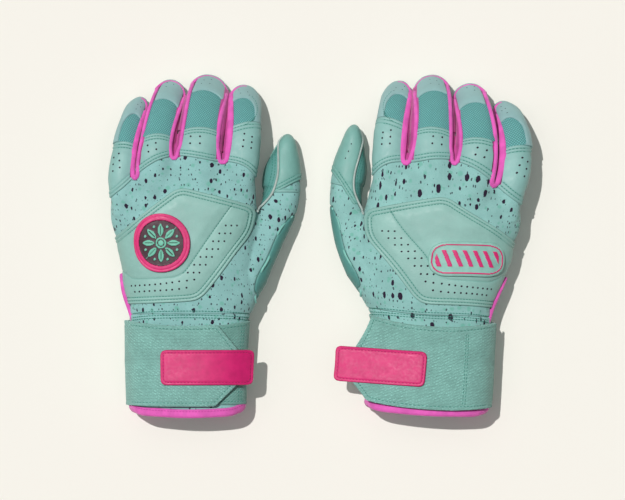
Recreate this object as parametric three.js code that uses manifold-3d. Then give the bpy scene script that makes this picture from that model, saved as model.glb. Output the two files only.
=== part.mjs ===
// A pair of baseball batting gloves, lying palm down with the fingers relaxed.
// Each glove is drawn as a left hand: X runs to the thumb, Y to the fingertips and Z up from the
// table, with the origin under the middle of the wrist strap. The right glove is its mirror image.
// All lengths are in millimetres and all angles in degrees.

import * as THREE from "three";
import { mergeVertices } from "three/addons/utils/BufferGeometryUtils.js";
import Module from "manifold-3d";

const wasm = await Module();
wasm.setup();
const degree = Math.PI / 180;

// Material thicknesses and clearances
const wall = 1.5; // leather or stretch fabric with its lining
const seamGap = 0.3; // between two panels that are sewn edge to edge
const layGap = 0.3; // between a layer and what it lies on
const overrun = 80; // how far a cutting block runs past what it cuts
const reachOver = 12; // the same, where a neighbouring digit is near

// Wrist and its strap
const wristWidth = 76;
const wristHeight = 38;
const hemDrop = 36; // strap centre to the cuff's open end
const cuffTop = 32; // strap centre to the seam between cuff and hand
const strapWidth = 56;
const strapThickness = 1.6;
const strapFlat = 0.5; // depth of the flat that the strap rests on
const padThickness = 0.7; // the hook pad and the loop pad
const padMargin = 7; // strap edge to pad edge
const padStart = -24;
const padEnd = 16;
const flapStartDegrees = 170; // round the wrist from the thumb side to the flap's sewn end
const flapTaper = 14; // length of the two slanted corners of the flap's end
const bindingWidth = 4.6; // pink edging of the cuff
const bindingThickness = 1;

// Hand
const handWidth = 99; // across the knuckles
const handLength = 134; // strap centre to the web beside the middle finger
const handHeight = 45; // table to the top of the knuckles
const knuckleArc = 21; // how far the knuckle line falls back at the edges of the hand
const knuckleArcX = 5; // where the knuckle line reaches furthest forward
const handCorner = 2.5; // exponent of the rounded sections, where 2 is an ellipse
const handSides = 18;
const insideSides = 14; // sides of the section of the hollow inside

// Fingers, from the little finger to the index finger. Each begins at its web, where x and y place
// its centre. In plan it leans towards the thumb and curves on, and it slopes down past its bend.
// Its stretch mesh lies over the middle joint, from mesh to meshEnd along it.
const fingers = [
  {
    name: "pinky", x: -43.2, y: 122, width: 17.6, height: 16, length: 60, taper: 0.82,
    bend: 22, lean: 1, turn: 26, mesh: 24, meshEnd: 46, outer: -1,
  },
  {
    name: "ring", x: -21.3, y: 131, width: 24.4, height: 18, length: 64, taper: 0.84,
    bend: 23, lean: 4, turn: 20, mesh: 20, meshEnd: 50, outer: 0,
  },
  {
    name: "middle", x: 7, y: 136, width: 29.6, height: 19, length: 61, taper: 0.84,
    bend: 22, lean: 2, turn: 18, mesh: 20, meshEnd: 49, outer: 0,
  },
  {
    name: "index", x: 35.2, y: 133, width: 24.6, height: 18, length: 56, taper: 0.86,
    bend: 21, lean: 2, turn: 4, mesh: 25, meshEnd: 45, outer: 1,
  },
];
const fingerGap = 1.3; // between two fingers at their web
const fingerRoot = 24; // length of a finger's tube inside the hand
const rootSlope = -16; // slope of the tube at its root, where it climbs
const rootShare = 0.8; // size of the tube's first section, as a share
const fingerSlope = 8; // slope of the finger's first stretch
const fingerCurl = 56; // slope of its last stretch
const curlLength = 27; // length of the stretch between the two
const digitSides = 10;
const digitSteps = 6;
const leastStep = 1; // least distance between two stations along a digit
const digitCorner = 2.3;
const tipLift = 1.4; // fingertips off the table
const tipRoundShare = 0.42; // length of the rounded tip, as a share of the digit's width there
const tipShares = [[0.5, 0.87], [0.87, 0.5], [1, 0.05]]; // places along the rounded tip and sizes there

// Panels of a finger
const creaseAfterMesh = 6; // mesh's near edge to the crease over the hinge
const creaseGap = 1.7; // open gap across the crease, on the palm side
const meshRound = 6; // how far the mesh's far corners are rounded off
const roundShare = 0.85; // how much of the quarter arc each rounded corner takes
const meshSide = 3.6; // leather beside the mesh, on the hand's two outer edges
const gussetShow = 3.2; // width of a side gusset seen from above
const gussetEnd = 5; // gusset's end to the start of the rounded tip
const gussetRound = 1.5; // length over which the leather tip widens past the gusset
const seamDropShare = 0.58; // side seam below the digit's middle, as a share of its half height
const webs = [
  { name: "pinky_ring", y: 125.5 },
  { name: "ring_middle", y: 139 },
  { name: "middle_index", y: 136 },
];

// Thumb
const thumb = {
  name: "thumb", x: 40, y: 60, width: 31, height: 30, length: 89, taper: 0.62, lean: 27, turn: -18,
};
const thumbRoot = 16;
const thumbSlope = 6;
const thumbTurnStart = 38; // where the thumb's straight base starts to turn towards the fingers
const thumbTurnLength = 22;
const thumbCrease = 60; // where the speckled base meets the leather tip
const thumbSeamShare = -0.32; // palm seam on the inner side, as a share of the half width
const thumbWeb = 46; // start of the palm leather's inner strip

// Overlays on the back of the hand
const shieldThickness = 1.2;
const overlayFloorShare = 0.45; // lowest place of an overlay, as a share of the hand's height
const badgeThickness = 1.8;
const badgeRadius = 19.5;
const badgeX = -16.7;
const badgeY = 79.4;
const badgeSides = 24;
const patchLength = 48;
const patchWidth = 24;
const patchX = -18.6;
const patchY = 70.6;
const ventWidth = 2.8;
const ventThickness = 1;

// Pull tab of moulded rubber, on the strap's free end
const tabLength = 61;
const tabWidth = 23.5;
const tabCorner = 3;
const tabThickness = 1.6;

// The pair. The right glove's strap stands further out past the wrist.
const pairSpacing = 163.3;
const gloves = [
  { side: "left", mirror: 1, turn: 0, shift: 0, flapLeave: 42, flapEnd: 33, tabEnd: 44, tabY: -3.3 },
  { side: "right", mirror: -1, turn: -4, shift: 1.3, flapLeave: 66, flapEnd: 52, tabEnd: 65, tabY: -6.2 },
];

// Outlines in plan, as shares of the hand's width and length
const yokeShares = [
  [-0.75, 0.78], [-0.5, 0.822], [-0.359, 0.9], [-0.191, 0.985], [-0.033, 1.01], [0.184, 0.99],
  [0.332, 0.97], [0.431, 0.935], [0.475, 0.89], [0.53, 0.86], [0.53, 1.7], [-0.75, 1.7],
];
const shieldShares = [
  [-0.458, 0.649], [-0.47, 0.52], [-0.42, 0.4], [-0.36, 0.292], [0.015, 0.302], [0.068, 0.32],
  [0.187, 0.403], [0.421, 0.642], [0.455, 0.73], [0.425, 0.775], [0.322, 0.802], [0.15, 0.838],
  [-0.06, 0.866], [-0.26, 0.762],
];
const thumbWrapShares = [
  [0.44, 0.28], [0.9, 0.28], [0.95, 0.75], [0.727, 0.746], [0.626, 0.657], [0.556, 0.511], [0.458, 0.403],
];
const ventStartShares = [-0.447, 0.43];
const ventEndShares = [-0.352, 0.24];

// Stations of the hand past the wrist: place along, little-finger side, thumb side, underside and
// top, as shares of the hand's length, width, width, height and height
const handShares = [
  [0.3, 0.375, 0.41, 0.03, 0.93],
  [0.42, 0.43, 0.46, 0.02, 0.95],
  [0.57, 0.475, 0.47, 0.05, 0.975],
  [0.74, 0.51, 0.48, 0.16, 1],
  [0.89, 0.525, 0.475, 0.3, 1],
  [0.99, 0.52, 0.47, 0.42, 0.97],
  [1.04, 0.5, 0.45, 0.48, 0.9],
  [1.065, 0.44, 0.4, 0.56, 0.8],
];

// Height of the side seam between palm and back: place along and height, as shares of the hand's
// length and height
const seamShares = [[0, 0.32], [0.3, 0.34], [0.57, 0.4], [0.89, 0.53], [1.06, 0.57]];
const palmEdgeShare = 0.49; // how far the palm zone reaches to the thumb side, of the hand's width

const wristLow = layGap + strapThickness - strapFlat;
const wristSection = [wristWidth / 2, wristWidth / 2, wristLow, wristLow + wristHeight];
const handStations = [
  [-hemDrop, ...wristSection],
  [strapWidth / 2, ...wristSection],
  ...handShares.map(([along, ulnar, radial, low, high]) => [
    along * handLength, ulnar * handWidth, radial * handWidth, low * handHeight, high * handHeight,
  ]),
];
const right = new THREE.Vector3(1, 0, 0);
const forward = new THREE.Vector3(0, 1, 0);
const upward = new THREE.Vector3(0, 0, 1);

// The solid that a closed geometry bounds
function solidOf(geometry) {
  geometry.deleteAttribute("normal");
  geometry.deleteAttribute("uv");
  const merged = mergeVertices(geometry);
  const index = merged.index.array;
  const faces = [];
  for (let i = 0; i < index.length; i += 3) {
    const [a, b, c] = [index[i], index[i + 1], index[i + 2]];
    if (a !== b && b !== c && c !== a) faces.push(a, b, c);
  }
  const vertProperties = merged.attributes.position.array;
  return new wasm.Manifold(new wasm.Mesh({ numProp: 3, vertProperties, triVerts: new Uint32Array(faces) }));
}

// A closed solid through a row of closed rings of points, with both end rings filled in. A ring may
// be the section of a thin sheet: its second half then runs back along its first. Seen from the
// first ring towards the last, each ring runs clockwise.
function loft(rings) {
  const count = rings[0].length;
  const positions = rings.flat().flatMap((point) => point.toArray());
  const faces = [];
  for (let row = 0; row < rings.length - 1; row += 1) {
    for (let i = 0; i < count; i += 1) {
      const a = row * count + i;
      const b = row * count + ((i + 1) % count);
      faces.push(a, b + count, b, a, a + count, b + count);
    }
  }
  const last = (rings.length - 1) * count;
  for (let i = 0; i < count / 2 - 1; i += 1) {
    const [c, d] = [count - 2 - i, count - 1 - i];
    faces.push(i, i + 1, c, i, c, d);
    faces.push(last + i, last + c, last + i + 1, last + i, last + d, last + c);
  }
  const geometry = new THREE.BufferGeometry();
  geometry.setAttribute("position", new THREE.Float32BufferAttribute(positions, 3));
  geometry.setIndex(faces);
  return solidOf(geometry);
}

// The join of several solids
function joined(solids) {
  return solids.reduce((whole, solid) => whole.add(solid));
}

// A solid without what several others fill
function without(solid, cutters) {
  return cutters.reduce((rest, cutter) => rest.subtract(cutter), solid);
}

// The main body of a solid, without the slivers that cuts leave beside it
function mainBody(solid) {
  return solid.decompose().reduce((most, body) => (body.volume() > most.volume() ? body : most));
}

// A box that runs past everything except between two places along the hand
function slab(fromY, toY) {
  const box = new THREE.BoxGeometry(2 * overrun, toY - fromY, 2 * overrun);
  return solidOf(box.translate(0, (fromY + toY) / 2, 0));
}

// An upright block over a plan outline, from a height up
function prism(points, floor = -overrun) {
  const depth = overrun - floor;
  const geometry = new THREE.ExtrudeGeometry(new THREE.Shape(points), { depth, bevelEnabled: false });
  return solidOf(geometry.translate(0, 0, floor));
}

// A plan outline from shares of the hand's size, anticlockwise, with its edges moved outwards
function planOutline(shares, grow = 0) {
  const points = shares.map(([x, y]) => new THREE.Vector2(x * handWidth, y * handLength));
  return points.map((point, i) => {
    const before = point.clone().sub(points.at(i - 1)).normalize();
    const after = points[(i + 1) % points.length].clone().sub(point).normalize();
    const normal = new THREE.Vector2(before.y + after.y, -before.x - after.x);
    return point.clone().addScaledVector(normal, grow / (1 + before.dot(after)));
  });
}

// A rectangle in plan with rounded corners
function roundedRectangle(centreX, centreY, length, width, corner) {
  const shape = new THREE.Shape();
  const [x, y] = [length / 2 - corner, width / 2 - corner];
  shape.absarc(centreX + x, centreY - y, corner, -Math.PI / 2, 0);
  shape.absarc(centreX + x, centreY + y, corner, 0, Math.PI / 2);
  shape.absarc(centreX - x, centreY + y, corner, Math.PI / 2, Math.PI);
  shape.absarc(centreX - x, centreY - y, corner, Math.PI, 1.5 * Math.PI);
  return shape.getPoints(2);
}

// A place on a rounded section: the half widths to both sides and the half height give its size
function roundPoint(angle, corner, spreads, rise) {
  const [cos, sin] = [Math.cos(angle), Math.sin(angle)];
  const spread = cos < 0 ? spreads[0] : spreads[1];
  const u = spread * Math.sign(cos) * Math.abs(cos) ** (2 / corner);
  return [u, rise * Math.sign(sin) * Math.abs(sin) ** (2 / corner)];
}

// A rounded ring of points round a centre
function roundRing(count, corner, place, across, up, spreads, rise) {
  return Array.from({ length: count }, (_, i) => {
    const [u, v] = roundPoint(((i + 0.5) / count) * 2 * Math.PI, corner, spreads, rise);
    return place.clone().addScaledVector(across, u).addScaledVector(up, v);
  });
}

// A ring of the hand at one station, grown outwards by a distance
function handRing([along, ulnar, radial, low, high], grow) {
  const place = new THREE.Vector3(0, along, (low + high) / 2);
  const spreads = [ulnar + grow, radial + grow];
  const sides = grow < -wall / 2 ? insideSides : handSides;
  return roundRing(sides, handCorner, place, right, upward, spreads, (high - low) / 2 + grow);
}

// How far the curved knuckle line lies behind its furthest point
function arcDrop(x, along) {
  const bent = THREE.MathUtils.smoothstep(along, handLength / 2, handLength);
  return bent * knuckleArc * ((x - knuckleArcX) / (handWidth / 2)) ** 2;
}

// The hand from the cuff to the webs, grown outwards by a distance. Its inside runs out of the cuff.
function handForm(grow) {
  const [first, ...rest] = handStations;
  const start = grow < 0 ? [first[0] - overrun, ...first.slice(1)] : first;
  const last = rest.at(-1);
  const end = [last[0] + grow, ...last.slice(1)];
  const between = rest.slice(0, -1).filter((_, i) => grow > -wall || i % 2 === 0);
  const rings = [start, ...between, end].map((station) => handRing(station, grow));
  for (const ring of rings) for (const point of ring) point.y -= arcDrop(point.x, point.y);
  return loft(rings);
}

// A straight stretch of the wrist, grown outwards by a distance
function wristForm(grow, fromY, toY) {
  return loft([handRing([fromY, ...wristSection], grow), handRing([toY, ...wristSection], grow)]);
}

// A sleeve round the wrist between two places, with its inner and outer growth
function wristSleeve(inner, outer, fromY, toY) {
  return wristForm(outer, fromY, toY).subtract(wristForm(inner, fromY - overrun, toY + overrun));
}

// A digit's directions at a distance along it: lean in plan, then slope down
function digitHeading(digit, along) {
  let turned = THREE.MathUtils.clamp(along / digit.length, 0, 1);
  let slope = thumbSlope;
  if (digit === thumb) {
    turned = THREE.MathUtils.smoothstep(along, thumbTurnStart, thumbTurnStart + thumbTurnLength);
  } else {
    const curled = THREE.MathUtils.clamp((along - digit.bend) / curlLength, 0, 1);
    const rooted = THREE.MathUtils.clamp(-along / fingerRoot, 0, 1);
    slope = THREE.MathUtils.lerp(fingerSlope, fingerCurl, curled);
    slope = THREE.MathUtils.lerp(slope, rootSlope, rooted);
  }
  const lean = (digit.lean + digit.turn * turned) * degree;
  const ahead = new THREE.Vector3(Math.sin(lean), Math.cos(lean), 0).multiplyScalar(Math.cos(slope * degree));
  ahead.z = -Math.sin(slope * degree);
  const across = new THREE.Vector3(Math.cos(lean), -Math.sin(lean), 0);
  return { ahead, across, up: new THREE.Vector3().crossVectors(across, ahead) };
}

// The centreline's place relative to the digit's start, stepped along in short strides
function digitOffset(digit, along) {
  const strides = 24;
  const place = new THREE.Vector3();
  for (let i = 0; i < strides; i += 1) {
    place.addScaledVector(digitHeading(digit, ((i + 0.5) / strides) * along).ahead, along / strides);
  }
  return place;
}

// The digit's frame at a distance along it, with its half width and half height there. The start's
// height follows from the tip's, which lies just off the table.
function digitFrame(digit, along) {
  const shrink = THREE.MathUtils.lerp(1, digit.taper, THREE.MathUtils.clamp(along / digit.length, 0, 1));
  const squat = digit === thumb ? shrink : (1 + shrink) / 2;
  const tipRise = (digit.height / 2) * (digit === thumb ? digit.taper : (1 + digit.taper) / 2);
  const startZ = tipLift + tipRise - digitOffset(digit, digit.length).z;
  return {
    ...digitHeading(digit, along),
    place: digitOffset(digit, along).add(new THREE.Vector3(digit.x, digit.y, startZ)),
    halfWidth: (digit.width / 2) * shrink,
    halfHeight: (digit.height / 2) * squat,
  };
}

// Distance along a digit to the end of its tip
function digitEnd(digit) {
  return digit.length + digit.width * digit.taper * tipRoundShare;
}

// The stations along a digit from one place to another, both ends with the tube's own between them
function stationsBetween(digit, from, to) {
  const own = Array.from({ length: digitSteps + 1 }, (_, i) => (i / digitSteps) * digit.length);
  return [from, ...own.filter((along) => along > from + leastStep && along < to - leastStep), to];
}

// A ring of a digit's tube, grown outwards by a distance and drawn in by a share
function digitRing(digit, along, grow, share = 1) {
  const { place, across, up, halfWidth, halfHeight } = digitFrame(digit, along);
  const width = (halfWidth + grow) * share;
  return roundRing(digitSides, digitCorner, place, across, up, [width, width], (halfHeight + grow) * share);
}

// The stretch of a digit's tube that grows out of the hand, grown outwards by a distance
function digitBase(digit, grow) {
  const root = digit === thumb ? thumbRoot : fingerRoot;
  const stations = stationsBetween(digit, 0, creaseOf(digit) + creaseGap);
  const kept = stations.filter((_, i) => grow >= 0 || i % 2 === 0 || i === stations.length - 1);
  return loft([
    digitRing(digit, -root, grow, rootShare),
    ...kept.map((along) => digitRing(digit, along, grow)),
  ]);
}

// The distance along a digit to the crease where it bends
function creaseOf(digit) {
  return digit === thumb ? thumbCrease : digit.mesh + creaseAfterMesh;
}

// The angle round a digit's section, grown by a distance, to the place that lies an inset inside
// the widest point of the ungrown one
function insetAngle({ halfWidth }, inset, grow = 0) {
  const share = (halfWidth - inset) / (halfWidth + grow);
  return Math.acos(Math.sign(share) * Math.abs(share) ** (digitCorner / 2));
}

// The angle round the same section down to its side seam, shifted up by a distance
function seamAngle({ halfHeight }, shift, grow = 0) {
  const share = Math.max(0, (seamDropShare * halfHeight - shift) / (halfHeight + grow));
  return -Math.asin(share ** (digitCorner / 2));
}

// A row of points on a digit's tube, grown by a distance, across a span of angles
function panelRow(frame, low, high, columns, grow) {
  const width = frame.halfWidth + grow;
  return Array.from({ length: columns + 1 }, (_, i) => {
    const angle = THREE.MathUtils.lerp(low, high, i / columns);
    const [u, v] = roundPoint(angle, digitCorner, [width, width], frame.halfHeight + grow);
    return frame.place.clone().addScaledVector(frame.across, u).addScaledVector(frame.up, v);
  });
}

// A panel of a digit's tube, one wall thick, through stations along it. The span gives the angles
// round the section between which it lies at each station. Past its last station it may run on
// round the end of the tip.
function digitPanel(digit, stations, columns, span, toTip = false) {
  const section = (along, share, endShare) => {
    const rows = [0, -wall].map((grow) => {
      const place = digitFrame(digit, along + endShare * (digitEnd(digit) - digit.length + grow));
      const { halfWidth, halfHeight } = place;
      const frame = { ...place, halfWidth: halfWidth * share, halfHeight: halfHeight * share };
      return panelRow(frame, ...span(frame, grow * share, along), columns, grow * share);
    });
    return [...rows[0], ...rows[1].toReversed()];
  };
  const round = toTip ? tipShares.map(([endShare, share]) => section(digit.length, share, endShare)) : [];
  return loft([...stations.map((along) => section(along, 1, 0)), ...round]);
}

// A block swept along a digit through several stations. The section gives its two sides and its
// bottom and top at each one, from the digit's frame, and its sides at the top where they differ.
function digitBlock(digit, stations, section) {
  return loft(stations.map((along) => {
    const frame = digitFrame(digit, along);
    const [left, side, low, high, leftHigh = left, sideHigh = side] = section(frame, along);
    const corner = (u, v) => frame.place.clone().addScaledVector(frame.across, u).addScaledVector(frame.up, v);
    return [corner(left, low), corner(side, low), corner(sideHigh, high), corner(leftHigh, high)];
  }));
}

// The palm side of a digit between two places, below its side seams
function lowBlock(digit, from, to, grow = 0) {
  return digitBlock(digit, stationsBetween(digit, from, to), ({ halfWidth, halfHeight }) => {
    const side = halfWidth + fingerGap / 2;
    return [-side, side, -2 * reachOver, -seamDropShare * halfHeight + grow];
  });
}

// One side of a finger's base, where the gusset towards its neighbour lies. The cut slants inwards
// to its low edge, so that it passes through the skin there.
function sideBlock(finger, side) {
  return digitBlock(finger, stationsBetween(finger, -fingerRoot / 2, creaseOf(finger) + 2 * reachOver), (frame) => {
    const { halfWidth, halfHeight } = frame;
    const edge = halfWidth - gussetShow - seamGap / 2;
    const [, edgeHeight] = roundPoint(insetAngle(frame, gussetShow), digitCorner, [0, halfWidth], halfHeight);
    const low = -seamDropShare * halfHeight;
    const inner = edge - 2 * wall;
    const innerHigh = inner + ((edge - inner) * (reachOver - low)) / (edgeHeight - low);
    const outer = halfWidth + fingerGap;
    return side > 0
      ? [inner, outer, low, reachOver, innerHigh, Math.max(outer, innerHigh + seamGap)]
      : [-outer, -inner, low, reachOver, Math.min(-outer, -innerHigh - seamGap), -innerHigh];
  });
}

// The stations of a finger's stretch mesh, closer together where its far corners are rounded
function meshStations(finger, from, to) {
  return [...stationsBetween(finger, from, to - meshRound), to - meshRound / 3, to];
}

// How far the stretch mesh's two side edges lie inside the finger's widest places
function meshInsets(finger, frame, along, to) {
  const into = THREE.MathUtils.clamp((along - to + meshRound) / meshRound, 0, 1);
  const round = (1 - Math.sqrt(1 - (roundShare * into) ** 2)) * frame.halfWidth;
  const left = finger.outer < 0 ? meshSide : gussetShow;
  const side = finger.outer > 0 ? meshSide : gussetShow;
  return [left + round + seamGap / 2, side + round + seamGap / 2];
}

// The window of a finger's stretch mesh, for cutting the leather round it
function meshWindow(finger) {
  const to = finger.meshEnd + seamGap;
  return digitBlock(finger, meshStations(finger, finger.mesh - reachOver, to), (frame, along) => {
    const [left, side] = meshInsets(finger, frame, along, to).map((inset) => frame.halfWidth - inset + seamGap);
    return [-left, side, 0, reachOver];
  });
}

// The palm's zone below the side seam, with the curved front of the hand
function handLow(grow = 0) {
  const columns = 5;
  const rings = seamShares.map(([alongShare, heightShare]) => {
    const across = (i) => THREE.MathUtils.lerp(-overrun, palmEdgeShare * handWidth + grow, i / columns);
    const point = (i, z) => {
      const x = across(i);
      const along = alongShare * handLength;
      return new THREE.Vector3(x, along - arcDrop(Math.max(x, -handWidth / 2), along), z);
    };
    const low = Array.from({ length: columns + 1 }, (_, i) => point(i, -overrun));
    const high = Array.from({ length: columns + 1 }, (_, i) => point(columns - i, heightShare * handHeight + grow));
    return [...low, ...high];
  });
  return loft(rings);
}

// The palm leather on the thumb's base: its underside, and the side towards the fingers
function thumbPalmZone(grow) {
  const to = thumbCrease + reachOver;
  const low = digitBlock(thumb, stationsBetween(thumb, 0, to), ({ halfWidth, halfHeight }) => [
    -halfWidth - reachOver, halfWidth + reachOver, -2 * reachOver, -seamDropShare * halfHeight + grow,
  ]);
  const inner = digitBlock(thumb, stationsBetween(thumb, thumbWeb - grow, to), ({ halfWidth, halfHeight }) => [
    -halfWidth - seamGap, thumbSeamShare * halfWidth + grow, -halfHeight, halfHeight + seamGap,
  ]);
  return low.add(inner);
}

// The glove's outside as far as the digits' creases, grown outwards by a distance
function form(grow) {
  return joined([handForm(grow), ...[...fingers, thumb].map((digit) => digitBase(digit, grow))]);
}

// A layer that lies on the back of the hand at a given height over the skin, above a plan outline
function overlay(points, level, thickness) {
  const outside = handForm(level + thickness).add(digitBase(thumb, level + thickness));
  const inside = handForm(level).add(digitBase(thumb, level));
  return outside.subtract(inside).intersect(prism(points, overlayFloorShare * handHeight));
}

// The sewn panels of the cuff, the hand and the digits' bases, by name
function bodyPanels() {
  const skin = form(0).subtract(form(-wall));
  const half = seamGap / 2;
  const hand = skin.intersect(slab(cuffTop + half, cuffTop + 2 * overrun));
  const beyond = (digit, from) => {
    const stations = stationsBetween(digit, from, creaseOf(digit) + 2 * reachOver);
    return digitBlock(digit, stations, ({ halfWidth }) => {
      const side = halfWidth + fingerGap / 2;
      return [-side, side, -2 * reachOver, 2 * reachOver];
    });
  };
  const palmZone = (grow) => joined([
    handLow(grow),
    ...fingers.map((finger) => lowBlock(finger, -fingerRoot / 4, creaseOf(finger) + 2 * reachOver, grow)),
    thumbPalmZone(grow),
    prism(planOutline(thumbWrapShares, grow)),
  ]);
  const gussetCuts = webs.map(({ y }, i) => {
    const sides = sideBlock(fingers[i], 1).add(sideBlock(fingers[i + 1], -1));
    return sides.intersect(slab(y - seamGap, y + 2 * overrun));
  });
  const thumbTip = beyond(thumb, thumbCrease - half);
  const tops = without(hand, [palmZone(seamGap), ...gussetCuts, thumbTip]);
  const palmTips = fingers.map((finger) => beyond(finger, creaseOf(finger) - creaseGap / 2));
  const yokeTips = fingers.map((finger) => beyond(finger, finger.mesh - half));
  return {
    cuff_sleeve: skin.intersect(slab(-overrun, cuffTop - half)),
    palm_panel: mainBody(without(hand.intersect(palmZone(0)), [thumbTip, ...palmTips, ...gussetCuts])),
    back_panel: mainBody(tops.subtract(prism(planOutline(yokeShares, seamGap)))),
    knuckle_yoke: mainBody(without(tops.intersect(prism(planOutline(yokeShares))), yokeTips)),
  };
}

// The panels of a finger past its crease: its palm side, its stretch mesh and its leather tip
function fingerPanels(finger) {
  const half = seamGap / 2;
  const { name, length, mesh, meshEnd, outer } = finger;
  const near = outer === 0 ? meshEnd - meshRound : mesh + half;
  const frontStations = stationsBetween(finger, creaseOf(finger) + creaseGap / 2, length);
  const front = digitPanel(finger, frontStations, 5, (frame, grow) => {
    const seam = seamAngle(frame, 0, grow);
    return [Math.PI - seam, 2 * Math.PI + seam];
  }, true);
  const cloth = digitPanel(finger, meshStations(finger, mesh + half, meshEnd), 4, (frame, grow, along) => {
    const [left, side] = meshInsets(finger, frame, along, meshEnd);
    return [insetAngle(frame, side, grow), Math.PI - insetAngle(frame, left, grow)];
  });
  const stripEnd = length - gussetEnd;
  const tipStations = [...stationsBetween(finger, near, stripEnd + half), stripEnd + gussetRound, length];
  const tip = digitPanel(finger, tipStations, 4, (frame, grow, along) => {
    const seam = seamAngle(frame, seamGap, grow);
    const side = along > stripEnd + half ? seam : insetAngle(frame, gussetShow + half, grow);
    return [outer > 0 ? seam : side, Math.PI - (outer < 0 ? seam : side)];
  }, true);
  return {
    [`${name}_front`]: front,
    [`${name}_mesh`]: cloth,
    [`${name}_tip`]: tip.subtract(meshWindow(finger)),
  };
}

// The leather tip of the thumb, its back and its palm side
function thumbPanels() {
  const half = seamGap / 2;
  const from = thumbCrease + half;
  const innerAngle = (frame, shift, grow) => {
    return insetAngle(frame, frame.halfWidth * (1 - thumbSeamShare) + shift, grow);
  };
  const stations = stationsBetween(thumb, from, thumb.length);
  const back = digitPanel(thumb, stations, 5, (frame, grow) => [
    seamAngle(frame, seamGap, grow), innerAngle(frame, -half, grow),
  ], true);
  const front = digitPanel(thumb, stations, 7, (frame, grow) => [
    innerAngle(frame, half, grow), 2 * Math.PI + seamAngle(frame, 0, grow),
  ], true);
  return { thumb_back: back, thumb_front: front };
}

// The strip between two fingers: along one finger's side, round the web and along the next one's
function gusset(webY, first, second) {
  const half = seamGap / 2;
  const columns = 2;
  const side = (finger, sign, grow) => {
    const from = webY - finger.y + wall + seamGap;
    return stationsBetween(finger, from, finger.length - gussetEnd - half).map((along) => {
      const frame = digitFrame(finger, along);
      const low = seamAngle(frame, 2 * seamGap, grow);
      const high = insetAngle(frame, gussetShow - half, grow);
      return panelRow({ ...frame, across: frame.across.multiplyScalar(sign) }, low, high, columns, grow);
    });
  };
  const surface = (grow) => {
    const [there, back] = [side(first, 1, grow).toReversed(), side(second, -1, grow)];
    const turn = there.at(-1).map((point, i) => {
      const middle = point.clone().lerp(back[0][i], 0.5);
      middle.y = webY + seamGap + grow + wall;
      return middle;
    });
    return [...there, turn, ...back];
  };
  const outer = surface(0);
  return loft(surface(-wall).map((inner, i) => [...inner, ...outer[i].toReversed()]));
}

// A flat strip bent round the back of the wrist at a height over it. It follows the wrist from the
// little-finger side up to an angle, and runs straight on from there.
function wristStrip(level, thickness, leaveDegrees, endX) {
  const steps = 8;
  const [halfWidth, , low, high] = wristSection;
  const middle = (low + high) / 2;
  const path = (grow) => {
    const points = [];
    for (let i = 0; i <= steps; i += 1) {
      const angle = THREE.MathUtils.lerp(flapStartDegrees, leaveDegrees, i / steps) * degree;
      const spreads = [halfWidth + grow, halfWidth + grow];
      const [x, z] = roundPoint(angle, handCorner, spreads, (high - low) / 2 + grow);
      points.push(new THREE.Vector3(x, 0, middle + z));
    }
    const heading = points.at(-1).clone().sub(points.at(-2)).normalize();
    points.push(points.at(-1).clone().addScaledVector(heading, endX + wristWidth / 2));
    return points;
  };
  const inner = path(level);
  const outer = path(level + thickness);
  const side = forward.clone().multiplyScalar(strapWidth / 2);
  return loft(inner.map((point, i) => [
    point.clone().add(side), point.clone().sub(side), outer[i].clone().sub(side), outer[i].clone().add(side),
  ]));
}

// The strap and what is fixed to it, by name
function strapPieces({ flapLeave, flapEnd, tabEnd, tabY }) {
  const half = strapWidth / 2;
  const loopLevel = 2 * layGap + strapThickness;
  const hookLevel = loopLevel + padThickness + layGap;
  const flapLevel = hookLevel + padThickness + layGap;
  const tabLevel = flapLevel + strapThickness + layGap;
  const strip = (level, thickness) => wristStrip(level, thickness, flapLeave, tabEnd);
  const taperStart = flapEnd - flapTaper;
  const flapOutline = [
    [-overrun, -half - layGap], [taperStart, -half - layGap], [flapEnd, tabY - tabWidth / 2],
    [flapEnd, tabY + tabWidth / 2], [taperStart, half + layGap], [-overrun, half + layGap],
  ].map(([x, y]) => new THREE.Vector2(x, y));
  const pad = prism(roundedRectangle((padStart + padEnd) / 2, 0, padEnd - padStart, strapWidth - 2 * padMargin, tabCorner));
  const tab = prism(roundedRectangle(tabEnd - tabLength / 2, tabY, tabLength, tabWidth, tabCorner));
  const flat = solidOf(new THREE.BoxGeometry(2 * overrun, 2 * overrun, 2 * overrun).translate(0, 0, -overrun));
  return {
    strap_base: wristSleeve(layGap, layGap + strapThickness, -half, half).subtract(flat),
    loop_pad: strip(loopLevel, padThickness).intersect(pad),
    hook_pad: strip(hookLevel, padThickness).intersect(pad),
    strap_flap: strip(flapLevel, strapThickness).intersect(prism(flapOutline)),
    pull_tab: strip(tabLevel, tabThickness).intersect(tab),
  };
}

// The pink edging folded over the cuff's open end
function cuffBinding() {
  const end = -hemDrop - layGap;
  const outside = layGap + bindingThickness;
  const sleeve = wristSleeve(-wall - outside, outside, end - bindingThickness, bindingWidth - hemDrop);
  return sleeve.subtract(wristSleeve(-wall - layGap, layGap, end, overrun));
}

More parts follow.
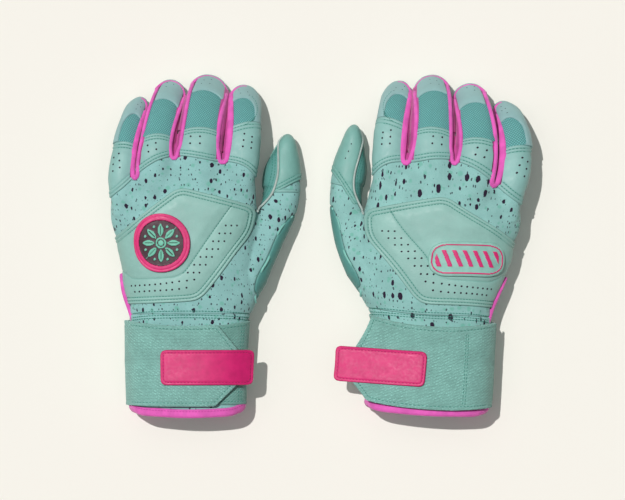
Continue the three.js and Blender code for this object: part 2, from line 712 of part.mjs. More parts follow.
// The pieces that lie on the back of the hand, by name
function overlays(side) {
  const start = new THREE.Vector2(ventStartShares[0] * handWidth, ventStartShares[1] * handLength);
  const end = new THREE.Vector2(ventEndShares[0] * handWidth, ventEndShares[1] * handLength);
  const strip = (width) => {
    const across = end.clone().sub(start).normalize().rotateAround(new THREE.Vector2(), Math.PI / 2);
    const offset = (point, share) => point.clone().addScaledVector(across, share * width);
    return [offset(start, -0.5), offset(end, -0.5), offset(end, 0.5), offset(start, 0.5)];
  };
  const shield = overlay(planOutline(shieldShares), layGap, shieldThickness);
  const level = 2 * layGap + shieldThickness;
  const disc = new THREE.EllipseCurve(badgeX, badgeY, badgeRadius, badgeRadius).getPoints(badgeSides);
  const patch = roundedRectangle(patchX, patchY, patchLength, patchWidth, patchWidth / 3);
  const badge = side === "left" ? disc.slice(1) : patch;
  return {
    vent_binding: overlay(strip(ventWidth), layGap, ventThickness),
    back_shield: shield.subtract(prism(strip(ventWidth + 2 * seamGap))),
    [side === "left" ? "badge" : "patch"]: overlay(badge, level, badgeThickness),
  };
}

// Materials
const standard = (color, roughness) => new THREE.MeshStandardMaterial({ color, roughness, metalness: 0 });
const materials = {
  leather: standard(0x8fcfc0, 0.6),
  palmLeather: standard(0x6fb3a5, 0.65),
  stretch: standard(0x9bd3cf, 0.8),
  mesh: standard(0x55a89c, 0.85),
  pink: standard(0xe65fc4, 0.7),
  rubber: standard(0xe8367f, 0.5),
  elastic: standard(0x6fc4ae, 0.85),
  hooks: standard(0x3f8f83, 0.9),
};
const materialOf = {
  cuff_sleeve: "stretch", back_panel: "stretch", palm_panel: "palmLeather", thumb_front: "palmLeather",
  vent_binding: "pink", cuff_binding: "pink", badge: "rubber", patch: "rubber", pull_tab: "rubber",
  strap_base: "elastic", strap_flap: "elastic", loop_pad: "hooks", hook_pad: "hooks",
};

// The material of a piece, by its name or its kind
function materialFor(name) {
  if (name.endsWith("_gusset")) return materials.pink;
  if (name.endsWith("_mesh")) return materials.mesh;
  if (name.endsWith("_front")) return materials.palmLeather;
  return materials[materialOf[name] ?? "leather"];
}

// A named mesh of a solid
function piece(name, solid, material) {
  const result = solid.getMesh();
  const geometry = new THREE.BufferGeometry();
  geometry.setAttribute("position", new THREE.Float32BufferAttribute(result.vertProperties, 3));
  geometry.setIndex(Array.from(result.triVerts));
  geometry.computeVertexNormals();
  const mesh = new THREE.Mesh(geometry, material.clone());
  mesh.name = name;
  return mesh;
}

// One glove of the pair, set in its place
function glove(settings, panels) {
  const group = new THREE.Group();
  const solids = {
    ...panels, ...overlays(settings.side), cuff_binding: cuffBinding(), ...strapPieces(settings),
  };
  for (const [name, solid] of Object.entries(solids)) {
    group.add(piece(`${settings.side}_${name}`, solid, materialFor(name)));
  }
  group.scale.x = settings.mirror;
  group.rotation.z = settings.turn * degree;
  group.position.set((-settings.mirror * pairSpacing) / 2, settings.shift, 0);
  return group;
}

const panels = Object.assign(
  bodyPanels(),
  ...fingers.map(fingerPanels),
  thumbPanels(),
  ...webs.map(({ name, y }, i) => ({ [`${name}_gusset`]: gusset(y, fingers[i], fingers[i + 1]) })),
);
const pair = new THREE.Group();
for (const settings of gloves) pair.add(glove(settings, panels));

// The pair stands over the middle of its own outline
const bounds = new THREE.Box3().setFromObject(pair);
const middle = bounds.getCenter(new THREE.Vector3());
for (const half of pair.children) half.position.sub(new THREE.Vector3(middle.x, middle.y, bounds.min.z));

export default pair;
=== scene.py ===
# A pair of batting gloves, palms down on a pale table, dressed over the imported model.
# Sizes are in millimetres in a glove's own frame, drawn as a left hand: X runs to the thumb, Y to
# the fingertips and Z up, with the origin on the table under the middle of the wrist strap. The
# right glove is the same work mirrored and turned into its place.

import math

import bpy
import numpy as np
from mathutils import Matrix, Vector
from mathutils.bvhtree import BVHTree


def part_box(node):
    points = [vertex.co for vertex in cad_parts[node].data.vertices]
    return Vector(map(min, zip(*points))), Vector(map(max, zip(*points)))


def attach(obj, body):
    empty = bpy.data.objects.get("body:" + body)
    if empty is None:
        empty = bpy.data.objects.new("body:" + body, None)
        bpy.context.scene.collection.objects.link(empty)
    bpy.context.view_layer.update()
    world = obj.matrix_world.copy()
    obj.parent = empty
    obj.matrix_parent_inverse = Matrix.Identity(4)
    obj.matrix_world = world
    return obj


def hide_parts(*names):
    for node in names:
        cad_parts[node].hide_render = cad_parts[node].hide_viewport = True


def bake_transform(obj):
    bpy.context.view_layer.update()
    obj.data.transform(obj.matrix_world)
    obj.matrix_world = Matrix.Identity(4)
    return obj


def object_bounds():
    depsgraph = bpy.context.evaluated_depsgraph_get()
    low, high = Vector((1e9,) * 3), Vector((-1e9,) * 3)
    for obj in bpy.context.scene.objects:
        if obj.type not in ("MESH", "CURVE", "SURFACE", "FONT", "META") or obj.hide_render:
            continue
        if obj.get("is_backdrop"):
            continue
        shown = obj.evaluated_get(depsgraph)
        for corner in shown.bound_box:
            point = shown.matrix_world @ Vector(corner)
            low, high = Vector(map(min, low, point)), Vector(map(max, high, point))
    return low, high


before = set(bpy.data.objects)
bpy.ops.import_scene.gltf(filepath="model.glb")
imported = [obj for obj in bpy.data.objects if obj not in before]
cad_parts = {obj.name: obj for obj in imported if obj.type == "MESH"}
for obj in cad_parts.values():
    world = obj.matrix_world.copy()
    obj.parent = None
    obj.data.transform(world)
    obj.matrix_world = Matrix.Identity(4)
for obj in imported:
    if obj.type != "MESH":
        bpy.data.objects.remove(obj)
cad_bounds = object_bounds()
MM = 0.001

# Hand, wrist and digits, as in the frame
wrist_width = 76
wrist_height = 38
wrist_low = 1.4
hem_drop = 36
cuff_top = 32
strap_width = 56
hand_width = 99
hand_length = 134
hand_height = 45
knuckle_arc = 21
knuckle_arc_x = 5
hand_corner = 2.5
digit_corner = 2.3
finger_root = 24
thumb_root = 16
finger_curl_length = 27
tip_lift = 1.4
tip_round_share = 0.42
seam_drop_share = 0.58
gusset_show = 3.2
thumb_crease = 60
wall = 1.2
palm_reach = 48.5
half_strap = strap_width / 2
wrist_side, wrist_rise = wrist_width / 2, wrist_height / 2
wrist_middle = wrist_low + wrist_rise

# Slopes of a digit's centreline in degrees, above 0 towards the table: at a finger's root in the
# hand, where it leaves the hand and at its tip, and all along the thumb
finger_slopes = (-16, 8, 56)
thumb_slope = 6.0

# Where each finger's centreline leaves the hand, its section and length, and in millimetres along
# it: where it bends, and where its stretch mesh starts and ends. lean is its direction at the root
# and turn its change to the tip, in degrees. outer is the side that has no neighbour, reach the
# share of its length in plan, edge_shift and edge_tilt the place of the mesh's near edge, and inset
# its distance from the outer side.
finger_sizes = [
    {"name": "pinky", "x": -43.2, "y": 122, "width": 17.6, "height": 16, "length": 60,
     "taper": 0.82, "bend": 22, "lean": 1, "turn": 26, "mesh": 24, "mesh_end": 42, "outer": -1,
     "reach": 0.985, "edge_shift": -0.5, "edge_tilt": 0.5, "inset": 2.5},
    {"name": "ring", "x": -21.3, "y": 131, "width": 24.4, "height": 18, "length": 64, "taper": 0.84,
     "bend": 23, "lean": 4, "turn": 20, "mesh": 20, "mesh_end": 43.5, "outer": 0,
     "reach": 0.945, "edge_shift": -0.3, "edge_tilt": 2, "inset": 2.8},
    {"name": "middle", "x": 7, "y": 136, "width": 29.6, "height": 19, "length": 61, "taper": 0.84,
     "bend": 22, "lean": 2, "turn": 18, "mesh": 20, "mesh_end": 45, "outer": 0,
     "reach": 0.92, "edge_shift": -0.8, "edge_tilt": 1.5, "inset": 2.8},
    {"name": "index", "x": 35.2, "y": 133, "width": 24.6, "height": 18, "length": 56, "taper": 0.86,
     "bend": 21, "lean": 2, "turn": 4, "mesh": 25, "mesh_end": 43.5, "outer": 1,
     "reach": 0.905, "edge_shift": 1, "edge_tilt": 3, "inset": 4.2},
]
thumb_sizes = {
    "name": "thumb", "x": 40, "y": 60, "width": 31, "height": 30, "length": 89, "taper": 0.62,
    "lean": 27, "turn": -18, "reach": 1, "tip_turn": 0,
}

# Stations of the hand past the wrist: place along, little-finger side, thumb side, underside and
# top, as shares of the hand's length, width, width, height and height
hand_shares = [
    (0.3, 0.375, 0.45, 0.03, 0.93), (0.42, 0.43, 0.475, 0.02, 0.95),
    (0.57, 0.475, 0.47, 0.05, 0.975), (0.74, 0.51, 0.48, 0.16, 1), (0.89, 0.525, 0.475, 0.3, 1),
    (0.99, 0.52, 0.47, 0.42, 0.97), (1.04, 0.5, 0.45, 0.48, 0.9), (1.065, 0.44, 0.4, 0.56, 0.8),
]
# Where the hand parts, across, between the Vs of the fingers
vee_splits = (-22, 8)
# Height of the side seam between palm and back: place along and height, as shares of the hand's
seam_shares = [(0, 0.32), (0.3, 0.34), (0.57, 0.4), (0.89, 0.53), (1.06, 0.57)]

# Distances inside a border at which a surface gets edges of its own: at a sewn seam, and where a
# panel's rim is rounded
seam_levels = (0.5, 1.2)
rim_levels = (0.15, 0.4, 0.8)
# How far panels stay off a seam, and off the side seam between palm and back
seam_gap = 0.1
side_gap = 0.12
# How far the hand's panels and the gussets run on under their neighbours
root_overlap = 0.3
gusset_overlap = 0.6
over_cloth = -0.3  # underside of leather that is laid over cloth, against the skin
skin_step = 1.0  # edge length of the welded skin
DIM = 1e-9  # stands for nothing where something is divided by it
FAR = 9  # a distance well past any border


def smoothstep(value, low, high):
    """0 below low, 1 above high and smooth in between."""
    t = np.clip((value - low) / (high - low), 0, 1)
    return t * t * (3 - 2 * t)


def lerp(a, b, share):
    """The value a share of the way from a to b."""
    return a + (b - a) * share


def unit(vectors):
    """Vectors at length 1."""
    return vectors / np.maximum(np.linalg.norm(vectors, axis=-1, keepdims=True), DIM)


def left_of(ahead):
    """Directions in plan a quarter turn to the left."""
    return np.stack([-ahead[..., 1], ahead[..., 0]], -1)


def circle(count):
    """Angles once round."""
    return np.linspace(0, 2 * math.pi, count, endpoint=False)


def round_section(angle, corner, half_width, half_height):
    """Places on a rounded section at angles round it."""
    cos, sin = np.cos(angle), np.sin(angle)
    u = half_width * np.sign(cos) * np.abs(cos) ** (2 / corner)
    return u, half_height * np.sign(sin) * np.abs(sin) ** (2 / corner)


def waves(co, length, seed):
    """Soft unevenness between -1 and 1 with about that length, the same on every run."""
    rng = np.random.default_rng(seed)
    total = np.zeros(len(co))
    for _ in range(7):
        direction = unit(rng.normal(size=3)) * rng.uniform(0.6, 1.5) * 2 * math.pi / length
        total += np.sin(co @ direction + rng.uniform(0, 2 * math.pi))
    return total / 7 * 1.6


def uneven(co, *layers):
    """Soft unevenness of several kinds, each with a length, a seed and a depth."""
    return sum(waves(co, length, seed) * depth for length, seed, depth in layers)


class Digit:
    """A finger or the thumb: a tube along a curved centreline."""

    def __init__(self, sizes):
        for key, value in sizes.items():
            setattr(self, key, value)
        self.is_thumb = self.name == "thumb"
        self.root = thumb_root if self.is_thumb else finger_root
        self.end = self.length + self.width * self.taper * tip_round_share
        self.tip_reach = 25 if self.is_thumb else 17
        stride = 0.25
        self.stations = np.arange(-self.root, self.end + 2, stride)
        ahead = self.heading(self.stations + stride / 2)[0]
        steps = np.vstack([np.zeros(3), np.cumsum(ahead[:-1] * stride, axis=0)])
        root = steps[np.abs(self.stations).argmin()].copy()
        past = self.stations > 0
        steps[past, :2] = root[:2] + (steps[past, :2] - root[:2]) * self.reach
        at = lambda along: np.array(
            [np.interp(along, self.stations, steps[:, k]) for k in range(3)])
        squat = self.taper if self.is_thumb else (1 + self.taper) / 2
        start = np.array([self.x, self.y, 0]) - at(0)
        start[2] = tip_lift + self.height / 2 * squat - at(self.length)[2]
        self.places = steps + start

    def heading(self, along):
        """Directions ahead, across and up at distances along the digit."""
        if self.is_thumb:
            turned = (smoothstep(along, 38, 60)
                      + self.tip_turn / self.turn * smoothstep(along, 58, 84))
            slope = np.full_like(along, thumb_slope)
        else:
            inside, root, tip = finger_slopes
            turned = np.clip(along / self.length, 0, 1)
            slope = lerp(root, tip, np.clip((along - self.bend) / finger_curl_length, 0, 1))
            slope = lerp(slope, inside, np.clip(-along / finger_root, 0, 1))
        lean = np.radians(self.lean + self.turn * turned)
        slope = np.radians(slope)
        flat = np.cos(slope)
        ahead = np.stack([np.sin(lean) * flat, np.cos(lean) * flat, -np.sin(slope)], -1)
        across = np.stack([np.cos(lean), -np.sin(lean), np.zeros_like(lean)], -1)
        return ahead, across, np.cross(across, ahead)

    def frame(self, along):
        """Place, directions and half sizes at distances along the digit."""
        along = np.asarray(along, float)
        place = np.stack([np.interp(along, self.stations, self.places[:, k]) for k in range(3)], -1)
        ahead, across, up = self.heading(along)
        shrink = lerp(1, self.taper, np.clip(along / self.length, 0, 1))
        squat = shrink if self.is_thumb else (1 + shrink) / 2
        beyond = np.clip((along - self.length) / (self.end - self.length), 0, 1)
        share = np.sqrt(np.maximum(1 - beyond**2, 0))
        share = share * np.where(along < 0, lerp(1, 0.8, np.clip(-along / self.root, 0, 1)), 1)
        narrowing = np.clip((along - self.end + self.tip_reach) / self.tip_reach, 0, 1)
        slim = np.minimum(np.sqrt(np.maximum(1 - narrowing**2, 0)), share)
        half_width = self.width / 2 * shrink * slim
        if self.is_thumb:
            swell = 1.9 * np.exp(-(((along - 70) / 14) ** 2)) * slim
            half_width = half_width + swell
            place = place - across * swell[..., None]
        return place, ahead, across, up, np.maximum(half_width, DIM), np.maximum(
            self.height / 2 * squat * share, DIM)

    def point(self, along, angle, grow=0.0):
        """Places on the digit's surface."""
        place, _, across, up, half_width, half_height = self.frame(along)
        u, v = round_section(angle, digit_corner, half_width + grow, half_height + grow)
        return place + across * u[..., None] + up * v[..., None]

    def chart(self, co):
        """Distance along, across and up for places near the digit, with its half sizes there."""
        every = 4
        centres = self.places[::every]
        best = np.full(len(co), np.inf)
        nearest = np.zeros(len(co), int)
        for k, centre in enumerate(centres):
            distance = ((co - centre) ** 2).sum(1)
            closer = distance < best
            best[closer] = distance[closer]
            nearest[closer] = k
        along = self.stations[::every][nearest]
        for _ in range(3):
            place, ahead, across, up, half_width, half_height = self.frame(along)
            off = co - place
            along = np.clip(along + (off * ahead).sum(1) * 0.8, -self.root, self.end)
        place, ahead, across, up, half_width, half_height = self.frame(along)
        off = co - place
        return along, (off * across).sum(1), (off * up).sum(1), half_width, half_height


fingers = [Digit(sizes) for sizes in finger_sizes]
thumb = Digit(thumb_sizes)
thumbs = {"left": thumb, "right": Digit({**thumb_sizes, "tip_turn": -13})}


class Surface:
    """Triangles with values at their corners. Every value is kept up when the surface is cut."""

    def __init__(self, co, faces, values=None):
        self.co = np.asarray(co, float)
        self.faces = np.asarray(faces, int)
        self.values = dict(values or {})

    def keep(self, mask):
        """Only the faces in a mask, and the corners that they use."""
        faces = self.faces[mask]
        used = np.unique(faces)
        index = np.full(len(self.co), -1)
        index[used] = np.arange(len(used))
        return Surface(self.co[used], index[faces], {k: v[used] for k, v in self.values.items()})

    def cut(self, value, level=0.0, both=False):
        """Cuts along the line where a value has a level. Keeps the part above it, or both parts."""
        height = self.values[value] - level
        height = np.where(np.abs(height) < 0.02, np.where(height < 0, -0.02, 0.02), height)
        above = (height > 0)[self.faces]
        count = above.sum(1)
        parts = [self.faces[count == 3]]
        if both:
            parts.append(self.faces[count == 0])
        starts, ends, jobs = [], [], []
        for number in (1, 2):
            rows = count == number
            flags = above[rows] if number == 1 else ~above[rows]
            lone = flags.argmax(1)
            group = self.faces[rows]
            a, b, c = (group[np.arange(len(group)), (lone + k) % 3] for k in range(3))
            jobs.append((number, a, b, c))
            starts += [a, a]
            ends += [b, c]
        low = np.minimum(np.concatenate(starts), np.concatenate(ends))
        high = np.maximum(np.concatenate(starts), np.concatenate(ends))
        keys, place = np.unique(low * len(self.co) + high, return_inverse=True)
        low, high = keys // len(self.co), keys % len(self.co)
        share = height[low] / (height[low] - height[high])
        mixed = lambda array: array[low] + (array[high] - array[low]) * (
            share if array.ndim == 1 else share[:, None])
        place = place + len(self.co)
        at = 0
        for number, a, b, c in jobs:
            ab, ac = place[at:at + len(a)], place[at + len(a):at + 2 * len(a)]
            at += 2 * len(a)
            tip = np.stack([a, ab, ac], 1)
            rest = np.concatenate([np.stack([ab, b, c], 1), np.stack([ab, c, ac], 1)])
            if both or number == 1:
                parts.append(tip)
            if both or number == 2:
                parts.append(rest)
        values = {k: np.concatenate([v, mixed(v)]) for k, v in self.values.items()}
        values[value][len(self.co):] = level
        whole = Surface(np.concatenate([self.co, mixed(self.co)]), np.concatenate(parts), values)
        return whole.keep(np.ones(len(whole.faces), bool))

    def lines(self, value, levels):
        """The same surface with edges along the lines where a value has several levels."""
        result = self
        for level in levels:
            result = result.cut(value, level, both=True)
        return result

    def normals(self):
        """Smooth normals at the corners."""
        a, b, c = (self.co[self.faces[:, k]] for k in range(3))
        face = np.cross(b - a, c - a)
        total = np.zeros_like(self.co)
        for k in range(3):
            np.add.at(total, self.faces[:, k], face)
        return unit(total)

    def facing(self, directions):
        """The same surface, its faces turned to the side that directions point to."""
        if (self.normals() * directions).sum(1).mean() < 0:
            self.faces = self.faces[:, ::-1]
        return self

    def tree(self, lift=0.0):
        """A search tree of the surface, lifted along its normals."""
        co = self.co + self.values["normal"] * np.asarray(lift).reshape(-1, 1)
        return BVHTree.FromPolygons(co.tolist(), self.faces.tolist())


def grid_faces(rows, columns, closed=False, looped=False):
    """Triangles of a grid of points, row by row. Its rows can be closed, or its ends joined."""
    r = np.arange(rows if looped else rows - 1)[:, None]
    c = np.arange(columns if closed else columns - 1)[None, :]
    after, beside = (r + 1) % rows, (c + 1) % columns
    corner = lambda row, column: (row * columns + column).ravel()
    a, b, e, f = corner(r, c), corner(r, beside), corner(after, beside), corner(after, c)
    return np.concatenate([np.stack([a, b, e], 1), np.stack([a, e, f], 1)])


def tube(rings):
    """Places and faces of a closed tube through rings of points."""
    rings = np.asarray(rings)
    rows, columns = rings.shape[:2]
    co = rings.reshape(-1, 3)
    ends = np.stack([rings[0].mean(0), rings[-1].mean(0)])
    i = np.arange(columns)
    j = (i + 1) % columns
    last = (rows - 1) * columns
    faces = np.concatenate([
        grid_faces(rows, columns, closed=True),
        np.stack([np.full(columns, len(co)), j, i], 1),
        np.stack([np.full(columns, len(co) + 1), last + i, last + j], 1)])
    return np.concatenate([co, ends]), faces


def signed_distance(points, outline):
    """Distance in plan to a closed outline, above 0 inside it."""
    best = np.full(len(points), np.inf)
    inside = np.zeros(len(points), bool)
    for p, q in zip(outline, np.roll(outline, -1, axis=0)):
        edge = q - p
        share = np.clip((points - p) @ edge / max(edge @ edge, DIM), 0, 1)
        best = np.minimum(best, ((points - p - share[:, None] * edge) ** 2).sum(1))
        rise = q[1] - p[1] if q[1] != p[1] else DIM
        crosses = (p[1] > points[:, 1]) != (q[1] > points[:, 1])
        inside ^= crosses & (points[:, 0] < p[0] + (points[:, 1] - p[1]) * (q[0] - p[0]) / rise)
    return np.where(inside, 1, -1) * np.sqrt(best)


def lengths_along(points):
    """Distance along a line at each of its points."""
    return np.concatenate([[0], np.cumsum(np.linalg.norm(np.diff(points, axis=0), axis=1))])


def resample(points, step):
    """The same line with even steps."""
    lengths = lengths_along(points)
    at = np.linspace(0, lengths[-1], max(2, round(lengths[-1] / step) + 1))
    return np.stack([np.interp(at, lengths, points[:, k]) for k in range(points.shape[1])], -1)


def curve(points, step=1.0, closed=False):
    """A smooth line through points, with even steps."""
    points = np.asarray(points, float)
    if closed:
        padded = np.vstack([points[-1:], points, points[:2]])
    else:
        padded = np.vstack([2 * points[0] - points[1], points, 2 * points[-1] - points[-2]])
    t = np.linspace(0, 1, 16, endpoint=False)[:, None]
    parts = []
    for k in range(len(padded) - 3):
        a, b, c, d = padded[k:k + 4]
        parts.append((2 * b + (c - a) * t + (2 * a - 5 * b + 4 * c - d) * t**2
                      + (3 * b - a - 3 * c + d) * t**3) / 2)
    return resample(np.vstack([*parts, padded[-2]]), step)


def rounded_outline(points, radius, step=0.8):
    """A closed outline with its corners rounded off."""
    points = np.asarray(points, float)
    line = []
    for k, corner in enumerate(points):
        before, after = points[k - 1], points[(k + 1) % len(points)]
        reach = [min(radius, np.linalg.norm(side - corner) * 0.48) for side in (before, after)]
        start = corner + unit(before - corner) * reach[0]
        end = corner + unit(after - corner) * reach[1]
        for t in np.linspace(0, 1, 9):
            line.append((1 - t) ** 2 * start + 2 * t * (1 - t) * corner + t**2 * end)
    line.append(line[0])
    return resample(np.array(line), step)[:-1]


def box_outline(low, high, radius, step=0.8):
    """A rectangle in plan with rounded corners."""
    (x, y), (x_end, y_end) = low, high
    return rounded_outline([(x, y), (x_end, y), (x_end, y_end), (x, y_end)], radius, step)


def closed(line):
    """A closed outline as a line that ends where it starts."""
    return np.vstack([line, line[:1]])


def face_edges(faces):
    """The edges of triangles, each in its triangle's own direction."""
    return np.concatenate([faces[:, [0, 1]], faces[:, [1, 2]], faces[:, [2, 0]]])


def smoothed(co, faces, rounds, strength=0.6, keep_size=True):
    """Places evened out against their neighbours."""
    edges = np.unique(np.sort(face_edges(faces), axis=1), axis=0)
    count = np.bincount(edges.ravel(), minlength=len(co))[:, None]
    for turn in range(rounds):
        total = np.stack([
            np.bincount(edges[:, 0], co[edges[:, 1], k], len(co))
            + np.bincount(edges[:, 1], co[edges[:, 0], k], len(co)) for k in range(3)], -1)
        step = -strength * 1.02 if keep_size and turn % 2 else strength
        co = co + step * (total / np.maximum(count, 1) - co)
    return co


def mesh_of(name, co, faces):
    """A Blender mesh from places and faces."""
    mesh = bpy.data.meshes.new(name)
    mesh.vertices.add(len(co))
    mesh.vertices.foreach_set("co", np.asarray(co, np.float32).ravel())
    mesh.loops.add(faces.size)
    mesh.loops.foreach_set("vertex_index", faces.astype(np.int32).ravel())
    mesh.polygons.add(len(faces))
    mesh.polygons.foreach_set("loop_start", np.arange(0, faces.size, 3, dtype=np.int32))
    mesh.polygons.foreach_set("loop_total", np.full(len(faces), 3, np.int32))
    mesh.update(calc_edges=True)
    return mesh


def welded(co, faces, voxel):
    """Overlapping closed surfaces as one even skin."""
    piece = bpy.data.objects.new("skin", mesh_of("skin", co, faces))
    bpy.context.scene.collection.objects.link(piece)
    remesh = piece.modifiers.new("even", "REMESH")
    remesh.mode = "VOXEL"
    remesh.voxel_size = voxel
    done = piece.evaluated_get(bpy.context.evaluated_depsgraph_get())
    mesh = done.to_mesh()
    mesh.calc_loop_triangles()
    places = np.empty(len(mesh.vertices) * 3, np.float32)
    mesh.vertices.foreach_get("co", places)
    triangles = np.empty(len(mesh.loop_triangles) * 3, np.int32)
    mesh.loop_triangles.foreach_get("vertices", triangles)
    done.to_mesh_clear()
    bpy.data.objects.remove(piece, do_unlink=True)
    return places.reshape(-1, 3).astype(float), triangles.reshape(-1, 3).astype(int)


# The hand's skin: the tube of the hand with the digits' bases grown into it

def arc_drop(x, along):
    """How far the curved knuckle line lies behind its furthest point."""
    bent = smoothstep(along, hand_length / 2, hand_length)
    return bent * knuckle_arc * ((x - knuckle_arc_x) / (hand_width / 2)) ** 2


def hand_tube():
    """Rings of the hand from the cuff's end to the rounded front under the fingers' roots."""
    wrist = (wrist_side, wrist_side, wrist_low, wrist_low + wrist_height)
    table = [(-hem_drop - 6, *wrist), (-hem_drop, *wrist), (half_strap, *wrist),
             (31, wrist_side, wrist_side + 0.4, wrist_low + 0.2, wrist_low + wrist_height + 0.8)]
    for along, ulnar, radial, low, high in hand_shares:
        table.append((along * hand_length, ulnar * hand_width, radial * hand_width,
                      low * hand_height, high * hand_height))
    table = np.array(table)
    along = np.arange(table[0, 0], table[-1, 0] + 0.1, 1.0)
    values = np.stack([np.interp(along, table[:, 0], table[:, k]) for k in range(1, 5)], -1)
    reach, spread = 9, 3.6
    weights = np.exp(-0.5 * (np.arange(-reach, reach + 1) / spread) ** 2)
    weights = weights / weights.sum()
    padded = np.vstack([np.repeat(values[:1], reach, 0), values, np.repeat(values[-1:], reach, 0)])
    soft = np.stack([np.convolve(padded[:, k], weights, "valid") for k in range(4)], -1)
    angle = circle(128)
    rings = []
    for place, (ulnar, radial, low, high) in zip(along, soft):
        half_width = np.where(np.cos(angle) < 0, ulnar, radial)
        u, v = round_section(angle, hand_corner, half_width, (high - low) / 2)
        y = place - arc_drop(u, place)
        rings.append(np.stack([u, np.broadcast_to(y, u.shape), (low + high) / 2 + v], -1))
    return tube(rings)


def digit_tube(digit, to):
    """A digit's tube from its root in the hand to a place along it."""
    along = np.append(np.arange(-digit.root, to, 1.0), to)
    angle = circle(64)
    return tube([digit.point(np.full(64, s), angle, -0.15) for s in along])


def near_edge(digit, a, half_width):
    """Distance along a finger to its stretch mesh's near edge, which bows towards the tip."""
    bow = 1.6 if digit.outer == 0 else 0.6
    side = np.clip(a / half_width, -1, 1)
    return digit.mesh + digit.edge_shift + digit.edge_tilt * side + bow * (1 - 2 * side**2)


def seam_height(x, y):
    """Height of the side seam between palm and back."""
    shares = np.array(seam_shares)
    along = y + arc_drop(x, y + 4)
    return np.interp(along, shares[:, 0] * hand_length, shares[:, 1] * hand_height)


def plan(points):
    """An outline in plan from shares of the hand's size."""
    return np.asarray(points, float) * (hand_width, hand_length)


def inside_of(outline, co):
    """Distance in plan inside an outline."""
    return signed_distance(co[:, :2], outline)


yoke_line = curve([
    (-58, 104), (-49.7, 110), (-42.5, 115.4), (-35.5, 121.7), (-27, 129), (-18.9, 133.9),
    (-11, 136.4), (-3.3, 137), (8, 135.4), (18.2, 133.4), (25.5, 133.2), (32.9, 132),
    (38.5, 129.6), (42.7, 126), (46.2, 121.2), (49, 113)])
# Bottoms of the Vs between the fingers: place across, place along and half the width outside
vee_bottoms = [(-33.8, 120.5, 3.3), (-8.4, 133.9, 3.6), (23.3, 131.0, 4.2)]
yoke_outline = np.vstack([yoke_line, [[75, 113], [75, 230], [-80, 230], [-80, 104]]])
wrap_outline = rounded_outline(plan([
    (0.44, 0.325), (0.9, 0.325), (0.95, 0.75), (0.727, 0.746), (0.626, 0.657), (0.556, 0.511),
    (0.458, 0.403)]), 10)
# The piping between the palm leather and the back along the thumb: the same start, then each
# glove's own line
piping_start = [(46.8, 100.4), (48.5, 102.6), (50.8, 104.8), (54, 108.4), (56.8, 112.6)]
piping_ends = {
    "left": [(58.9, 118.3), (60.9, 125.5), (61.7, 132.9), (61.9, 140), (62.4, 146.7),
             (64.6, 150.6)],
    "right": [(58.4, 118.3), (58.7, 125), (57.9, 131.6), (56.8, 140.3), (56.2, 147),
              (57.4, 151.4)],
}
pipings = {side: curve(piping_start + end) for side, end in piping_ends.items()}
piped_sides = {side: np.vstack([line, [[66, 170], [47.4, 170], [46.4, 104]]])
               for side, line in pipings.items()}
shield_outline = rounded_outline([
    (-66, 71.4), (-47.3, 85.2), (-4.7, 116.8), (31.9, 107.5), (46.6, 103.2), (43.4, 86),
    (18.5, 54), (8.5, 41.6), (-1, 40.2), (-37.3, 38.7), (-66, 38)], 7)


def hem_rise(x):
    """How far the cuff's end curves back towards the hand at its two sides."""
    return 4.2 * np.clip(np.abs(x) / wrist_side, 0, 1.08) ** 6


def hem_line(x, turn):
    """The cuff's end along the hand at a turn round the wrist, a little uneven."""
    return hem_rise(x) + 0.35 * np.sin(turn * 3 + 0.6) + 0.2 * np.sin(turn * 7)


def cloth_chart(co):
    """Places on the stretch fabric laid flat: across, with the sides folded out, and along."""
    x, y, z = co.T
    folded = np.sign(x) * 0.9 * (hand_height - z) * smoothstep(np.abs(x), 18, 40)
    return np.stack([x + folded, y, np.zeros(len(co))], -1)


def welded_skin():
    """One smooth skin of the hand and its digits, with soft hollows where they meet."""
    parts = [hand_tube(), *(digit_tube(f, f.mesh + 8) for f in fingers),
             digit_tube(thumb, thumb_crease + 7)]
    starts = np.cumsum([0] + [len(co) for co, _ in parts[:-1]])
    co, faces = welded(
        np.vstack([co for co, _ in parts]),
        np.vstack([faces + start for (_, faces), start in zip(parts, starts)]), skin_step)
    co = smoothed(co, faces, 16)
    soft = smoothed(co, faces, 60, keep_size=False)
    roots = smoothstep(co[:, 1], 96, 122) * (1 - smoothstep(co[:, 1], 138, 152))
    crotch = 1 - smoothstep(np.hypot(co[:, 0] - 48, co[:, 1] - 100), 12, 26)
    return lerp(co, soft, np.clip(roots * 0.8 + crotch * 0.8, 0, 1)[:, None]), faces


